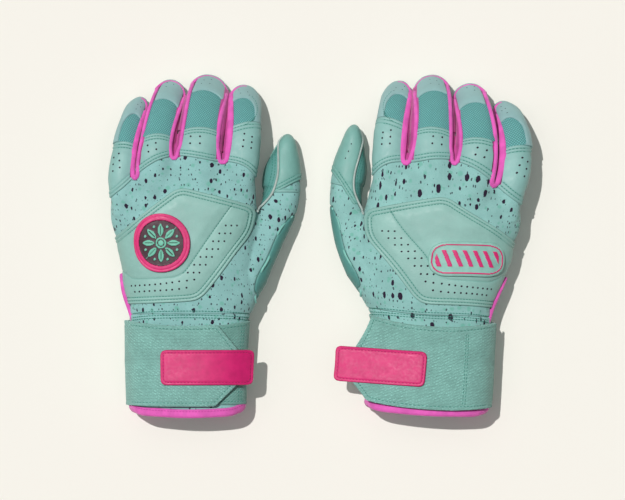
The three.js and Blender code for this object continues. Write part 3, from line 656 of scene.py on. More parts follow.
def hand_skin():
    """The skin with the fields that its panels are cut by."""
    surface = Surface(*welded_skin())
    co, values = surface.co, surface.values
    x, y, z = co.T
    charts = [finger.chart(co) for finger in fingers]
    ratio = np.stack([np.hypot(a / hw, b / hh) for _, a, b, hw, hh in charts])
    nearest = ratio.argmin(0)
    pick = lambda rows: np.stack(rows)[nearest, np.arange(len(co))]
    s, a, b, hw, hh = (pick([chart[k] for chart in charts]) for k in range(5))
    front = pick([near_edge(f, c[1], c[3]) - c[0] for f, c in zip(fingers, charts)])
    # A place belongs to a digit within some times its half sizes, and past its root
    on_finger = (ratio.min(0) < 1.7) & (y > 100)
    values["front"] = np.where(on_finger, front, 20)
    ts, ta, tb, tw, th = thumb.chart(co)
    on_thumb = (np.hypot(ta / tw, tb / th) < 1.35) & (x > 38)
    values["thumb_front"] = np.where(on_thumb, thumb_crease - ts, 20)
    # The palm: under the side seam on the hand and the digits, inside the thumb's piping, and the
    # wrap round the thumb's base, whose lower end slants on its side
    root = smoothstep(s, -8, 4) * on_finger
    palm_hand = np.minimum(seam_height(x, y) - z, palm_reach - x)
    palm = lerp(palm_hand, -seam_drop_share * hh - b, root)
    below = np.minimum(-seam_drop_share * th - tb, (ts + 4) * 0.8)
    inner = np.where(tb > -0.3 * th, inside_of(piped_sides["left"], co), -FAR)
    palm = np.maximum(palm, np.where(on_thumb, np.maximum(below, inner), -FAR))
    slanted = np.stack([x, y + 0.9 * np.clip(hand_height * 0.6 - z, 0, 16)], -1)
    wrap = np.maximum(inside_of(wrap_outline, co), inside_of(wrap_outline, slanted))
    values["palm"] = np.maximum(palm, wrap)
    values["yoke"] = inside_of(yoke_outline, co)
    # The gussets: the fingers' sides above the Vs, and a slit under the little finger's V
    outer = np.array([f.outer for f in fingers])[nearest] * a > 0
    side = np.where(outer, -FAR, np.abs(a) - hw + 3.4)
    bottoms = np.array([bottom[1] for bottom in vee_bottoms])
    above_vee = y - bottoms[np.digitize(x, vee_splits)] - 2.2
    gusset = np.where(on_finger, np.minimum(np.minimum(side, s + 1.5), above_vee), -FAR)
    slit = 1.7 - np.abs(x + 34.5)
    values["gusset"] = np.maximum(gusset, np.minimum(slit, np.minimum(y - 122.6, 133 - y)))
    values["cuff"] = y - cuff_top
    values["hem"] = y + hem_drop - hem_rise(x)
    values["chart"] = cloth_chart(co)
    values["normal"] = surface.normals()
    lift = uneven(co, (26, 3, 0.22), (11, 5, 0.1))
    surface.co = co + values["normal"] * lift[:, None]
    values["place"] = surface.co.copy()
    return surface


skin = hand_skin()


# Placing a piece of a glove

gloves = {"left": {"mirror": 1, "turn": 0}, "right": {"mirror": -1, "turn": -4}}
for name, glove in gloves.items():
    low, high = (np.array(corner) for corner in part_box(f"{name}_strap_base"))
    glove["origin"] = np.array([(low[0] + high[0]) / 2, (low[1] + high[1]) / 2, 0])


# The gloves of a pair lie a little differently: places in a glove's own plan and the steps that
# carry them to where they lie, as across, along, step across and step along
steps = {
    "left": [
        (-48, 71, 3.3, 0), (-46, 64, 3, 0), (-49, 80, 2.3, 0), (-51, 91, 2, 0), (-45, 59, 1.7, 0),
        (-44, 48, -0.7, 0), (73, 149, -2.7, 0), (75, 140, -2.7, 0), (77, 131, -2.3, 0),
        (75, 121, -0.7, 0), (74, 112, 1.7, 0), (73, 105, 0, 0), (41, 39, 2.7, 0), (39, 32, 3.3, 0),
        (39, 24, 1.7, 0), (65, 81, -0.7, 0), (52, 56, -1, 0), (-52, 113, 0, 0), (-51, 135, 0.7, 0),
        (-45, 161, 0.7, 0), (-34, 176, 0, 0), (-13, 185, -0.7, 0), (13, 191, 0, 0), (37, 183, 0, 0),
        (47, 168, 0.7, 0), (47, 158, 1.3, 0), (55, 108, 0, 0), (0, 115, 0, 0), (0, 75, 0, 0),
        (-25, 88, 0, 0), (25, 88, 0, 0), (0, 35, 0, 0), (-41, 28, 0, 0), (-41, 1, 0, 0),
        (-41, -25, 0.7, 0), (0, 1, 0, 0), (0, -29, 0, 0), (37, 8, 1, 0), (37, -9, 0, 0),
        (37, -29, 0, 0)],
    "right": [
        (39, 185, -4.7, -0.3), (15, 192, -1.8, -1.9), (-10, 188, -2.8, -2.5),
        (-32, 177, -4.1, -1.1),
        (-45, 158, -7, 0.5), (-49, 142, -6.3, 0.4), (-50, 132, -5, 0.3), (-52, 120, -2.1, -1.2),
        (-34, 122, 1.7, -4.1), (-9, 135, 3.7, -4.3), (23, 132, 3.8, -3.6), (50, 173, -3.4, -0.4),
        (49, 161, -0.7, -0.6), (47, 100, 5.9, -6.4), (64, 153, -1.6, 1.1), (75, 139, -4, 0.3),
        (77, 128, -2.7, 0.2), (76, 116, 0.7, 0), (74, 107, 1.3, -0.1), (72, 97, 2.7, -0.2),
        (68, 86, 5.3, -0.4), (63, 76, 7.3, -0.5), (59, 65, 7.7, -0.5), (54, 55, 7, -0.5),
        (47, 45, 7, -0.5), (41, 35, 6.3, -0.4), (38, 29, 5.3, -0.4), (41, 22, 2, -0.1),
        (42, 13, 0, 0), (41, -3, 0, 0), (40, -20, 0.7, 0), (39, -29, 4, -0.3), (34, -35, 6, -0.4),
        (45, 124, 2.5, -2.8),
        (7, 136, 1.9, -1.8), (-51, 107, -0.2, -2.7), (-50, 82, 1.2, -1.8), (-39, 40, 1.9, -1.5),
        (4, 40, 4, -4.3), (41, 91, 6.1, -7.8), (-3, 114, 2.8, -7.6), (-21, 68, 0, -0.7),
        (-40, 71, 0, -0.7), (6, 73, 1.9, -2.1), (3, 30, 1.2, -1.4), (-37, 29, 0, 0), (-39, 3, 0, 0),
        (-41, -21, -0.7, 0), (2, 13, 0, 0), (0, -13, 0, 0), (-1, -35, 0, 0), (-38, -29, -0.7, 0),
        (-48, 94, -0.7, -0.6), (-46, 69, -0.7, 0), (65, 6, 0, 0), (65, -17, 0, 0), (57, 10, 0, 0),
        (56, -20, 0, 0)],
}
plate_unit = 50  # millimetres that the field counts as 1


def thin_plate(a, b):
    """Bending of a thin plate between two sets of places."""
    square = ((a[:, None] - b[None]) ** 2).sum(-1)
    return square * np.log(square + DIM)


def with_level(places):
    """Places with a 1 in front, for the level part of a field."""
    return np.hstack([np.ones((len(places), 1)), places])


def fitted_plate(table, give=0.12):
    """Weights of the smoothest field that carries each place by about its own step."""
    table = np.array(table, float)
    places = table[:, :2] / plate_unit
    level = with_level(places)
    bent = thin_plate(places, places) + give * np.eye(len(places))
    system = np.block([[bent, level], [level.T, np.zeros((3, 3))]])
    return places, np.linalg.solve(system, np.vstack([table[:, 2:], np.zeros((3, 2))]))


plates = {side: fitted_plate(table) for side, table in steps.items()}


def lying(co, side):
    """Places of a glove's own frame carried to where that glove's own places lie."""
    places, weights = plates[side]
    plan = co[:, :2] / plate_unit
    co = np.array(co, float)
    co[:, :2] += thin_plate(plan, places) @ weights[:-3] + with_level(plan) @ weights[-3:]
    return co


def placed(co, side):
    """Places of a glove's own frame in the scene, in metres."""
    glove = gloves[side]
    co = lying(np.atleast_2d(co), side)
    x, y = co[:, 0] * glove["mirror"], co[:, 1]
    cos, sin = math.cos(math.radians(glove["turn"])), math.sin(math.radians(glove["turn"]))
    return np.stack([x * cos - y * sin, x * sin + y * cos, co[:, 2]], -1) * MM + glove["origin"]


def make(side, name, surface, look, rides="hands", replaces=(), slot="leather", sharp=48):
    """A piece of one glove. It rides on a body, or, given a digit or two places, is fixed where it
    lies.
    """
    faces = surface.faces if gloves[side]["mirror"] > 0 else surface.faces[:, ::-1]
    resting = surface.co * (1, 1, 0) + (0, 0, 1) * np.maximum(surface.co[:, 2:], 0.03)
    mesh = mesh_of(f"{side}_{name}", placed(resting, side), faces)
    for key in ("place", "chart"):
        layer = mesh.attributes.new(key, "FLOAT_VECTOR", "POINT")
        value = surface.values.get(key, surface.co)
        layer.data.foreach_set("vector", value.astype(np.float32).ravel())
    for key, otherwise in (("edge", FAR), ("ink", 0), ("inner", 0)):
        layer = mesh.attributes.new(key, "FLOAT", "POINT")
        value = surface.values.get(key, np.full(len(surface.co), float(otherwise)))
        layer.data.foreach_set("value", value.astype(np.float32))
    mesh.polygons.foreach_set("use_smooth", np.ones(len(mesh.polygons), bool))
    mesh.set_sharp_from_angle(angle=math.radians(sharp))
    mesh.materials.append(look[side] if isinstance(look, dict) else look)
    piece = bpy.data.objects.new(f"{side}_{name}", mesh)
    bpy.context.scene.collection.objects.link(piece)
    if isinstance(rides, Digit):
        start = thumb_crease if rides.is_thumb else rides.mesh
        reach = 10 if rides.is_thumb else 12
        rides = (rides.name, *rides.frame([start, start + reach])[0])
    if isinstance(rides, tuple):
        bends, *ends = rides
        start, end = placed(ends, side)
        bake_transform(piece)
    else:
        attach(piece, rides if rides == "hands" else f"{side}_{rides}")
    if replaces:
        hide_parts(*(f"{side}_{node}" for node in replaces))
    return piece


def both(name, surface, look, **facts):
    """The same piece on both gloves."""
    for side in gloves:
        make(side, name, surface, look, **facts)


def shell(surface, top, bottom=-wall):
    """A closed sheet: a surface lifted to its outer and inner side, with walls along its border."""
    normal = surface.values["normal"]
    count = len(surface.co)
    top = np.broadcast_to(top, count)[:, None]
    bottom = np.broadcast_to(bottom, count)[:, None]
    co = np.concatenate([surface.co + normal * top, surface.co + normal * bottom])
    edges = face_edges(surface.faces)
    keys = edges.min(1) * count + edges.max(1)
    _, index, number = np.unique(keys, return_index=True, return_counts=True)
    a, b = edges[index[number == 1]].T
    faces = np.concatenate([
        surface.faces, surface.faces[:, ::-1] + count,
        np.stack([b, a, a + count], 1), np.stack([b, a + count, b + count], 1),
    ])
    values = {k: np.concatenate([v, v]) for k, v in surface.values.items()}
    values["inner"] = np.repeat([0.0, 1.0], count)
    return Surface(co, faces, values)


def ridge(distance, width):
    """1 at a distance of 0, falling off softly within about a width."""
    return np.exp(-((distance / width) ** 2))


def border(distance, height, rows=(), soft=0.8):
    """Height over the skin inside a panel's border: a rounded edge with stitched grooves in it."""
    edge = np.clip(distance / soft, 0, 1)
    lift = height * np.sqrt(np.maximum(1 - (1 - edge) ** 2, 0))
    for row in rows:
        lift = lift - 0.3 * ridge(distance - row, 0.45)
    if len(rows) > 1:
        lift = lift + 0.22 * ridge(distance - (rows[0] + rows[1]) / 2, 0.7)
    return lift


def groove_shade(distance, rows):
    """Painted shade along the grooves of stitched rows: 1 on the rows and 0 beside them."""
    return sum(ridge(distance - row, 0.32) for row in rows)


def row_levels(rows=()):
    """The distances at which a border's surface needs edges of its own."""
    levels = sorted([*rim_levels, *(row + off for row in rows for off in (-0.5, 0, 0.5))])
    return [level for k, level in enumerate(levels) if k == 0 or level - levels[k - 1] > 0.08]


def sewn(distance, depth=0.7, width=1.3):
    """How far a panel rolls down at a seam."""
    return -depth * (1 - np.clip(distance / width, 0, 1)) ** 2


def past_seam(distance):
    """0 at the side seam and 1 where a panel lifted over the skin has its full height."""
    return smoothstep(distance, -0.5, 2.6)


def drop(trees, xy, floor=None):
    """Places and normals on the highest of several surfaces under points in plan."""
    places, normals = [], []
    for x, y in xy:
        best = None
        for tree in trees:
            hit = tree.ray_cast(Vector((x, y, 90)), Vector((0, 0, -1)))
            if hit[0] is not None and (best is None or hit[0].z > best[0].z):
                best = hit
        if best is None:
            near = Vector((x, y, 20 if floor is None else floor))
            best = min((tree.find_nearest(near) for tree in trees), key=lambda hit: hit[3])
        places.append(best[0])
        normals.append(best[1] if best[1].z > -0.2 else -best[1])
    return np.array(places), unit(np.array(normals))


def soft_line(values, rounds=6):
    """A line's values evened out along it."""
    for _ in range(rounds):
        inner = (values[:-2] + 2 * values[1:-1] + values[2:]) / 4
        values = np.vstack([values[:1], inner, values[-1:]])
    return values


def swept(places, normals, widths, heights, sides=12, lift=0.0):
    """A flattened cord along a line on a surface, with closed ends."""
    count = len(places)
    ahead = unit(np.gradient(places, axis=0))
    across = unit(np.cross(ahead, normals))
    up = np.cross(across, ahead)
    angle = circle(sides)
    widths, heights, lift = (np.broadcast_to(v, count)[:, None] for v in (widths, heights, lift))
    u = np.cos(angle) * widths / 2
    v = np.sin(angle) * heights / 2 + lift
    co, faces = tube(places[:, None] + across[:, None] * u[..., None] + up[:, None] * v[..., None])
    lengths = lengths_along(places)
    chart = np.stack([np.repeat(lengths, sides), np.tile(angle, count), np.zeros(u.size)], -1)
    chart = np.vstack([chart, [[0, 0, 0], [lengths[-1], 0, 0]]])
    return Surface(co, faces, {"place": co.copy(), "chart": chart})


def cord(line, trees, width, height, lift):
    """A cord laid along a line in plan."""
    places, normals = drop(trees, line, floor=14)
    places[:, 2] = soft_line(places[:, 2:], 8)[:, 0]
    return swept(places, unit(soft_line(normals, 8)), width, height, sides=10, lift=lift)


def stitches(lines, pitch=2.0, length=1.45, width=0.5, height=0.36):
    """Separate stitches along lines of places and normals."""
    shape = [(-0.5, 0.35), (-0.3, 1), (0.3, 1), (0.5, 0.35)]
    angle = circle(6)
    ring = np.array([[[t * length, np.cos(k) * width / 2 * r, np.sin(k) * height / 2 * r]
                      for k in angle] for t, r in shape])
    local, faces = tube(ring)
    places, index = [], []
    for line, normals in lines:
        even = resample(np.hstack([line, normals]), pitch)
        middle = (even[:-1] + even[1:]) / 2
        ahead = unit(even[1:, :3] - even[:-1, :3])
        up = unit(middle[:, 3:] - (middle[:, 3:] * ahead).sum(1)[:, None] * ahead)
        across = np.cross(up, ahead)
        co = (middle[:, None, :3] + local[None, :, :1] * ahead[:, None]
              + local[None, :, 1:2] * across[:, None]
              + (local[None, :, 2:] + height * 0.22) * up[:, None])
        starts = (np.arange(len(middle)) * len(local))[:, None, None]
        places.append(co.reshape(-1, 3))
        index.append((faces[None] + starts).reshape(-1, 3))
    starts = np.cumsum([0] + [len(co) for co in places[:-1]])
    co = np.vstack(places)
    return Surface(co, np.vstack([f + k for f, k in zip(index, starts)]), {"place": co.copy()})


def holes(places, normals, radius=0.66, lift=0.06):
    """Small dark discs of painted shade where leather is punched."""
    sides = 10
    angle = circle(sides)[:, None]
    co, faces = [], []
    for place, normal in zip(places, normals):
        across = unit(np.cross(normal, [0, 1, 0.1]))
        along = np.cross(normal, across)
        middle = len(co) * (sides + 1) + sides
        rim = place + normal * lift + radius * (np.cos(angle) * across + np.sin(angle) * along)
        co.append(np.vstack([rim, place + normal * (lift - 0.02)]))
        faces += [[middle - sides + k, middle - sides + (k + 1) % sides, middle]
                  for k in range(sides)]
    co = np.vstack(co)
    return Surface(co, np.array(faces)[:, ::-1], {"place": co.copy()})


# Materials

def linear(red, green, blue):
    """A colour given by its display values from 0 to 255."""
    channel = lambda c: c / 12.92 if c <= 0.04045 else ((c + 0.055) / 1.055) ** 2.4
    return (channel(red / 255), channel(green / 255), channel(blue / 255), 1)


def shade(color, factor):
    """A colour made lighter or darker."""
    return tuple(min(1, channel * factor) for channel in color[:3]) + (1,)


class Look:
    """A material and the nodes that feed its shader."""

    def __init__(self, name, color, roughness, specular=0.35, sheen=0.0):
        self.material = bpy.data.materials.new(name)
        self.material.use_nodes = True
        self.material.diffuse_color = color
        self.nodes = self.material.node_tree.nodes
        self.links = self.material.node_tree.links
        self.shader = self.nodes["Principled BSDF"]
        for key, value in {"Base Color": color, "Roughness": roughness,
                           "Specular IOR Level": specular, "Sheen Weight": sheen}.items():
            self.shader.inputs[key].default_value = value
        self.color = color
        self.relief = None
        self.columns = 0

    def add(self, kind, settings=None, **inputs):
        """A node with its settings and its inputs, each a value or another node's output."""
        node = self.nodes.new("ShaderNode" + kind)
        self.columns += 1
        node.location = (-200 * self.columns, 0)
        for key, value in (settings or {}).items():
            setattr(node, key, value)
        for key, value in inputs.items():
            numbered = key[0] == "i" and key[1:].isdigit()
            self.put(node.inputs[int(key[1:]) if numbered else key], value)
        return node

    def put(self, socket, value):
        """Gives an input a value or another node's output."""
        if isinstance(value, bpy.types.NodeSocket):
            self.links.new(value, socket)
        else:
            socket.default_value = value

    def attribute(self, name, output="Vector"):
        """A value stored with the mesh."""
        return self.add("Attribute", {"attribute_name": name}).outputs[output]

    def calc(self, operation, *values):
        """One sum, product or the like of numbers."""
        node = self.add("Math", {"operation": operation})
        for socket, value in zip(node.inputs, values):
            self.put(socket, value)
        return node.outputs[0]

    def times(self, first, second):
        """The product of two numbers."""
        return self.calc("MULTIPLY", first, second)

    def vector_calc(self, operation, *vectors):
        """One sum, product or the like of vectors."""
        inputs = {f"i{k}": vector for k, vector in enumerate(vectors)}
        return self.add("VectorMath", {"operation": operation}, **inputs).outputs[0]

    def noise(self, vector, scale, detail=2.0):
        """Soft noise between 0 and 1."""
        return self.add("TexNoise", None, Vector=vector, Scale=scale, Detail=detail).outputs[0]

    def cells(self, vector, scale):
        """Distance to the nearest of scattered places."""
        return self.add("TexVoronoi", None, Vector=vector, Scale=scale).outputs["Distance"]

    def bands(self, direction, vector, scale, distortion):
        """Soft stripes between 0 and 1."""
        return self.add("TexWave", {"bands_direction": direction}, Vector=vector, Scale=scale,
                        Distortion=distortion).outputs[1]

    def between(self, value, low, high, start=0.0, end=1.0):
        """A value mapped smoothly from one range to another."""
        return self.add("MapRange", {"interpolation_type": "SMOOTHSTEP"}, i0=value, i1=low, i2=high,
                        i3=start, i4=end).outputs[0]

    def blend(self, share, first, second):
        """Two colours mixed."""
        return self.add("Mix", {"data_type": "RGBA"}, i0=share, i6=first, i7=second).outputs[2]

    def mottled(self, value, dark, light, low=0.3, high=0.7):
        """The look's own colour, darker where a value is low and lighter where it is high."""
        return self.blend(self.between(value, low, high), shade(self.color, dark),
                          shade(self.color, light))

    def bump(self, height, distance, strength=1.0):
        """Adds a relief, its depth in millimetres."""
        node = self.add("Bump", None, Height=height, Distance=distance * MM, Strength=strength)
        if self.relief is not None:
            self.links.new(self.relief, node.inputs["Normal"])
        self.relief = node.outputs[0]
        self.links.new(self.relief, self.shader.inputs["Normal"])

    def roughen(self, value, low, high, start, end):
        """Sets the roughness from a value."""
        self.put(self.shader.inputs["Roughness"], self.between(value, low, high, start, end))

    def paint(self, color):
        """Sets the colour from a node."""
        self.links.new(color, self.shader.inputs["Base Color"])
        return self.material


def leather(name, color, roughness=0.52):
    """Soft glove leather: fine pebbled grain, faint creases, a cut edge a little darker, and
    painted shade along its stitched grooves.
    """
    look = Look(name, color, roughness, specular=0.4)
    place = look.attribute("place")
    fine, patchy = look.noise(place, 2.6, 3.0), look.noise(place, 0.35, 3.0)
    look.bump(look.calc("ADD", look.cells(place, 1.15), look.times(fine, 0.7)), 0.045)
    creased = look.vector_calc("MULTIPLY", place, (0.35, 0.12, 0.35))
    look.bump(look.noise(creased, 1.0, 3.0), 0.1, 0.6)
    broad = look.times(look.noise(place, 0.055), 0.7)
    tint = look.mottled(look.calc("ADD", broad, look.times(patchy, 0.3)), 0.93, 1.06)
    cut = look.between(look.attribute("edge", "Fac"), 0.1, 0.7, 0.35, 0.0)
    tint = look.blend(cut, tint, shade(color, 0.62))
    # Painted shade: darker along the grooves of the stitched rows
    rows = look.times(look.attribute("ink", "Fac"), 0.45)
    tint = look.blend(rows, tint, linear(92, 158, 146))
    look.roughen(patchy, 0.3, 0.75, roughness - 0.08, roughness + 0.1)
    return look.paint(tint)


def speckled(name, color, shift, tall, size):
    """Stretch fabric: a fine knit with scattered dark blots, small dots and soft washed spots."""
    look = Look(name, color, 0.8, specular=0.2, sheen=0.15)
    place = look.attribute("place")
    flat = look.vector_calc("ADD", look.attribute("chart"), shift)
    bent = look.add("TexNoise", {"noise_dimensions": "2D"}, Vector=flat, Scale=0.5, Detail=1.0)
    flat_bent = look.vector_calc("MULTIPLY_ADD", bent.outputs[1], (0.9, 0.9, 0.0), flat)
    upright = look.vector_calc("MULTIPLY", flat_bent, (1.0, tall, 1.0))

    def spots(vector, scale, power, reach, channel):
        """Distance inside scattered spots, one in each cell, with sizes of its own."""
        cells = look.add("TexVoronoi", {"voronoi_dimensions": "2D"}, Vector=vector, Scale=scale,
                         Randomness=0.9)
        pick = look.add("SeparateColor", None, Color=cells.outputs["Color"]).outputs[channel]
        radius = look.times(look.calc("POWER", pick, power), reach)
        return look.calc("SUBTRACT", radius, cells.outputs["Distance"])

    ragged = look.times(look.calc("SUBTRACT", look.noise(place, 1.1), 0.5), 0.06)
    crowd = look.between(look.noise(place, 0.035, 1.0), 0.4, 0.62, -0.04, 0.0)
    reach = look.calc("ADD", look.calc("ADD", spots(upright, 0.165, 1.0, size, 0), ragged), crowd)
    dark = look.between(reach, 0.0, 0.03)
    speck = look.between(look.calc("SUBTRACT", spots(upright, 0.42, 2.0, 0.28, 1), 0.02), 0.0, 0.05)
    wash = look.between(spots(flat_bent, 0.17, 1.4, 0.34, 2), -0.04, 0.16, 0.0, 0.6)
    tint = look.mottled(look.noise(place, 0.09, 3.0), 0.92, 1.07)
    grainy = look.between(look.noise(place, 1.5), 0.35, 0.7)
    tint = look.blend(look.times(grainy, 0.25), tint, linear(108, 176, 168))
    tint = look.blend(wash, tint, linear(104, 178, 158))
    printed = look.calc("SUBTRACT", 1.0, look.attribute("inner", "Fac"))
    tint = look.blend(look.times(look.times(speck, 0.85), printed), tint, linear(44, 46, 60))
    tint = look.blend(look.times(dark, printed), tint, linear(42, 28, 50))
    knit = look.times(look.bands("X", place, 0.62, 0.6), look.bands("Y", place, 0.55, 0.6))
    look.bump(knit, 0.05)
    look.bump(look.noise(place, 3.2), 0.035)
    return look.paint(tint)


def quilted(name, color, pitch=1.1):
    """Stretch mesh with a raised diamond pattern, with painted shade in its hollows and painted
    highlight on its raised diamonds.
    """
    look = Look(name, color, 0.78, specular=0.25)
    chart = look.attribute("chart")
    u, v = look.add("SeparateXYZ", None, Vector=chart).outputs[:2]
    lines = []
    for sign in ("ADD", "SUBTRACT"):
        turn = look.times(look.calc(sign, u, v), math.pi / pitch / math.sqrt(2))
        lines.append(look.calc("ABSOLUTE", look.calc("SINE", turn)))
    height = look.calc("POWER", look.times(*lines), 0.6)
    soft = look.between(look.noise(chart, 0.12), 0.3, 0.75, 0.0, 0.35)
    look.bump(height, 0.34)
    # Painted light: the tint follows the relief's height, darker in the hollows and lighter on the
    # raised diamonds
    return look.paint(look.blend(soft, look.mottled(height, 0.62, 1.3, 0.15, 0.95),
                                 shade(color, 0.85)))


def cloth_edge(name, color, rib=1.6):
    """Binding tape: a fine rib across it with painted shade in the rib's grooves, and a soft bloom.
    """
    look = Look(name, color, 0.68, specular=0.3, sheen=0.25)
    place = look.attribute("place")
    ribs = look.bands("X", look.attribute("chart"), rib / 2, 0.5)
    tint = look.mottled(look.noise(place, 0.16, 3.0), 0.86, 1.1)
    look.bump(ribs, 0.06)
    look.bump(look.noise(place, 2.2), 0.05)
    # Painted shade: darker in the grooves between the ribs
    return look.paint(look.blend(look.between(ribs, 0.0, 1.0, 0.22, 0.0), tint, shade(color, 0.72)))


def moulded(name, color, inks=()):
    """Moulded rubber with a fine cast texture. A value stored with the mesh picks other colours."""
    look = Look(name, color, 0.46, specular=0.45)
    place = look.attribute("place")
    ink = look.attribute("ink", "Fac")
    tint = look.mottled(look.noise(place, 0.2, 3.0), 0.92, 1.07)
    for number, other in enumerate(inks, 1):
        tint = look.blend(look.between(ink, number - 0.55, number - 0.45), tint, other)
    look.bump(look.times(look.bands("Y", place, 0.5, 0.3), look.bands("X", place, 0.5, 0.3)), 0.035)
    look.bump(look.noise(place, 1.3, 3.0), 0.03)
    look.roughen(look.noise(place, 0.6, 3.0), 0.3, 0.7, 0.4, 0.55)
    return look.paint(tint)


def woven(name, color):
    """Woven elastic: fine ribs round the wrist with painted shade in their grooves, and a twill of
    short floats.
    """
    look = Look(name, color, 0.82, specular=0.2, sheen=0.2)
    chart = look.attribute("chart")
    patches = lambda scale, detail: look.noise(
        look.vector_calc("MULTIPLY", chart, scale), 1.0, detail)
    u, v = look.add("SeparateXYZ", None, Vector=chart).outputs[:2]
    rib = look.calc("ABSOLUTE", look.calc("SINE", look.times(v, math.pi / 0.95)))
    diagonal = look.calc("ADD", look.times(u, 1.9), look.times(v, 3.3))
    twill = look.between(look.calc("SINE", diagonal), -0.3, 0.8)
    floats = look.times(twill, look.between(patches((0.75, 1.1, 1.0), 2.0), 0.4, 0.62))
    zone = look.between(patches((0.035, 0.06, 1.0), 1.0), 0.38, 0.6, 0.35, 1.0)
    tint = look.mottled(look.noise(chart, 0.09), 0.92, 1.07)
    tint = look.blend(look.times(floats, zone), tint, shade(color, 1.62))
    look.bump(rib, 0.22)
    look.bump(floats, 0.2)
    # Painted shade: darker in the grooves between the ribs
    return look.paint(look.blend(look.between(rib, 0.0, 0.5, 0.62, 0.0), tint, shade(color, 0.46)))


def thread(name, color):
    """Twisted sewing thread, with painted shade in the twist's grooves and painted highlight on its
    ridges.
    """
    look = Look(name, color, 0.6, specular=0.3)
    twist = look.bands("DIAGONAL", look.attribute("place"), 1.1, 0.4)
    look.bump(twist, 0.05)
    # Painted light: darker in the twist's grooves and lighter on its ridges
    return look.paint(look.blend(twist, shade(color, 0.8), shade(color, 1.12)))


def punched(name, color):
    """Painted shade for the inside of a punched hole."""
    look = Look(name, color, 0.9, specular=0.1)
    dim = look.noise(look.attribute("place"), 1.4)
    return look.paint(look.blend(dim, shade(color, 0.6), shade(color, 1.3)))


def hooked(name, color):
    """Hook-and-loop tape: dense short pile."""
    look = Look(name, color, 0.9, specular=0.1, sheen=0.3)
    pile = look.cells(look.attribute("place"), 1.5)
    look.bump(pile, 0.3)
    return look.paint(look.mottled(pile, 1.15, 0.7, 0.1, 0.7))


yoke_leather = leather("yoke_leather", linear(138, 184, 178))
shield_leather = leather("shield_leather", linear(143, 187, 178))
tip_leather = leather("tip_leather", linear(144, 184, 184))
thumb_leather = leather("thumb_leather", linear(124, 175, 166))
rolled_leather = leather("rolled_leather", linear(128, 192, 180))
palm_leather = leather("palm_leather", linear(91, 152, 145), roughness=0.58)
stretch = {
    "left": speckled("speckled_stretch_left", linear(146, 193, 190), (0.0, 0.0, 0.0), 0.72, 0.26),
    "right": speckled("speckled_stretch_right", linear(146, 193, 188), (131.0, 57.0, 0.0),
                      0.58, 0.29),
}
mesh_cloth = quilted("quilted_mesh", linear(106, 172, 170))
orchid = cloth_edge("orchid_binding", linear(236, 98, 192))
# The gussets deep between the fingers take a darker copy of the binding's orchid: painted shade
orchid_shade = cloth_edge("orchid_gusset_shade", linear(196, 74, 152))
hot_pink = moulded("hot_pink_rubber", linear(214, 34, 112))
badge_rubber = moulded("badge_rubber", linear(216, 46, 116),
                       [linear(66, 34, 46), linear(110, 190, 165)])
patch_rubber = moulded("patch_rubber", linear(146, 196, 184), [linear(216, 46, 116)])
elastic = woven("woven_elastic", linear(132, 184, 174))
elastic_low = woven("woven_elastic_lower", linear(122, 174, 163))
loops = hooked("loop_tape", linear(112, 170, 156))
teal_thread = thread("teal_thread", linear(58, 136, 122))
pink_thread = thread("pink_thread", linear(168, 42, 96))
orchid_thread = thread("orchid_thread", linear(210, 74, 166))
grey_piping = cloth_edge("grey_piping", linear(186, 200, 194), rib=2.2)
hole_shade = punched("punched_hole_shade", linear(52, 42, 54))


# Panels of the hand

leather_rise = 0.9
double_row = (1.8, 3.9)
shield_rows = (2.1, 4.3)
hem_fold = 1.6  # the cloth's end inside the binding
hand = skin.cut("front", -root_overlap).cut("thumb_front", -root_overlap).cut("hem", hem_fold)
fields = hand.values
fields["normal"] = hand.normals()
fields["sleeve"] = -fields["cuff"]
fields["top"] = -fields["palm"]
fields["shield"] = inside_of(shield_outline, hand.co)
fields["between"] = -fields["gusset"]
# The back's cloth runs a few millimetres under the yoke and the shield
fields["beside"] = 3.0 - fields["yoke"]
fields["around"] = 5.0 - fields["shield"]


def edged(surface, value):
    """The surface with its border distance stored for the material."""
    surface.values["edge"] = np.clip(surface.values[value], 0, FAR)
    return surface


def panel(surface, value, gap=side_gap):
    """The part of a surface inside a seam."""
    return edged(surface.cut(value, gap).lines(value, seam_levels), value)


def side_bulge(surface, depth):
    """How far a gusset between two fingers swells into their gap, most where it is upright."""
    level = np.abs(surface.values["normal"][:, 0])
    return -0.5 + depth * smoothstep(level, 0.35, 0.95)


sleeve = panel(hand, "sleeve", seam_gap)
both("cuff_sleeve_cloth", shell(sleeve, sewn(sleeve.values["sleeve"])), stretch,
     replaces=["cuff_sleeve"], slot="speckled_stretch")

body = hand.cut("cuff", seam_gap).lines("cuff", seam_levels)
palm = panel(body, "palm")
roll = sewn(np.minimum(palm.values["palm"], palm.values["cuff"]))
both("palm_leather", shell(palm, roll), palm_leather, replaces=["palm_panel"], slot="palm_leather")

tops = body.cut("top", side_gap).lines("top", (*seam_levels, 2.4))
webs = tops.cut("gusset", -gusset_overlap)
# How far the gussets between the fingers swell, from the little finger's side to the thumb's
gap_swells = (0.4, 1.0, 2.1)
swell = np.array(gap_swells)[np.digitize(webs.co[:, 0], vee_splits)]
both("web_gussets", shell(webs, side_bulge(webs, swell)), orchid_shade, slot="pink_binding",
     replaces=["pinky_ring_gusset", "ring_middle_gusset", "middle_index_gusset"])
tops = tops.cut("between")

back = edged(tops.cut("beside").cut("around").lines("yoke", [-0.4, 0.4]), "top")
under_yoke = sewn(-back.values["yoke"], 0.25, 1.5) * (back.values["yoke"] > -1.5)
back_lift = sewn(np.minimum(back.values["top"], back.values["cuff"]))
back_lift = back_lift + np.clip(under_yoke, -0.25, 0)
both("back_stretch", shell(back, back_lift), stretch, replaces=["back_panel"],
     slot="speckled_stretch")

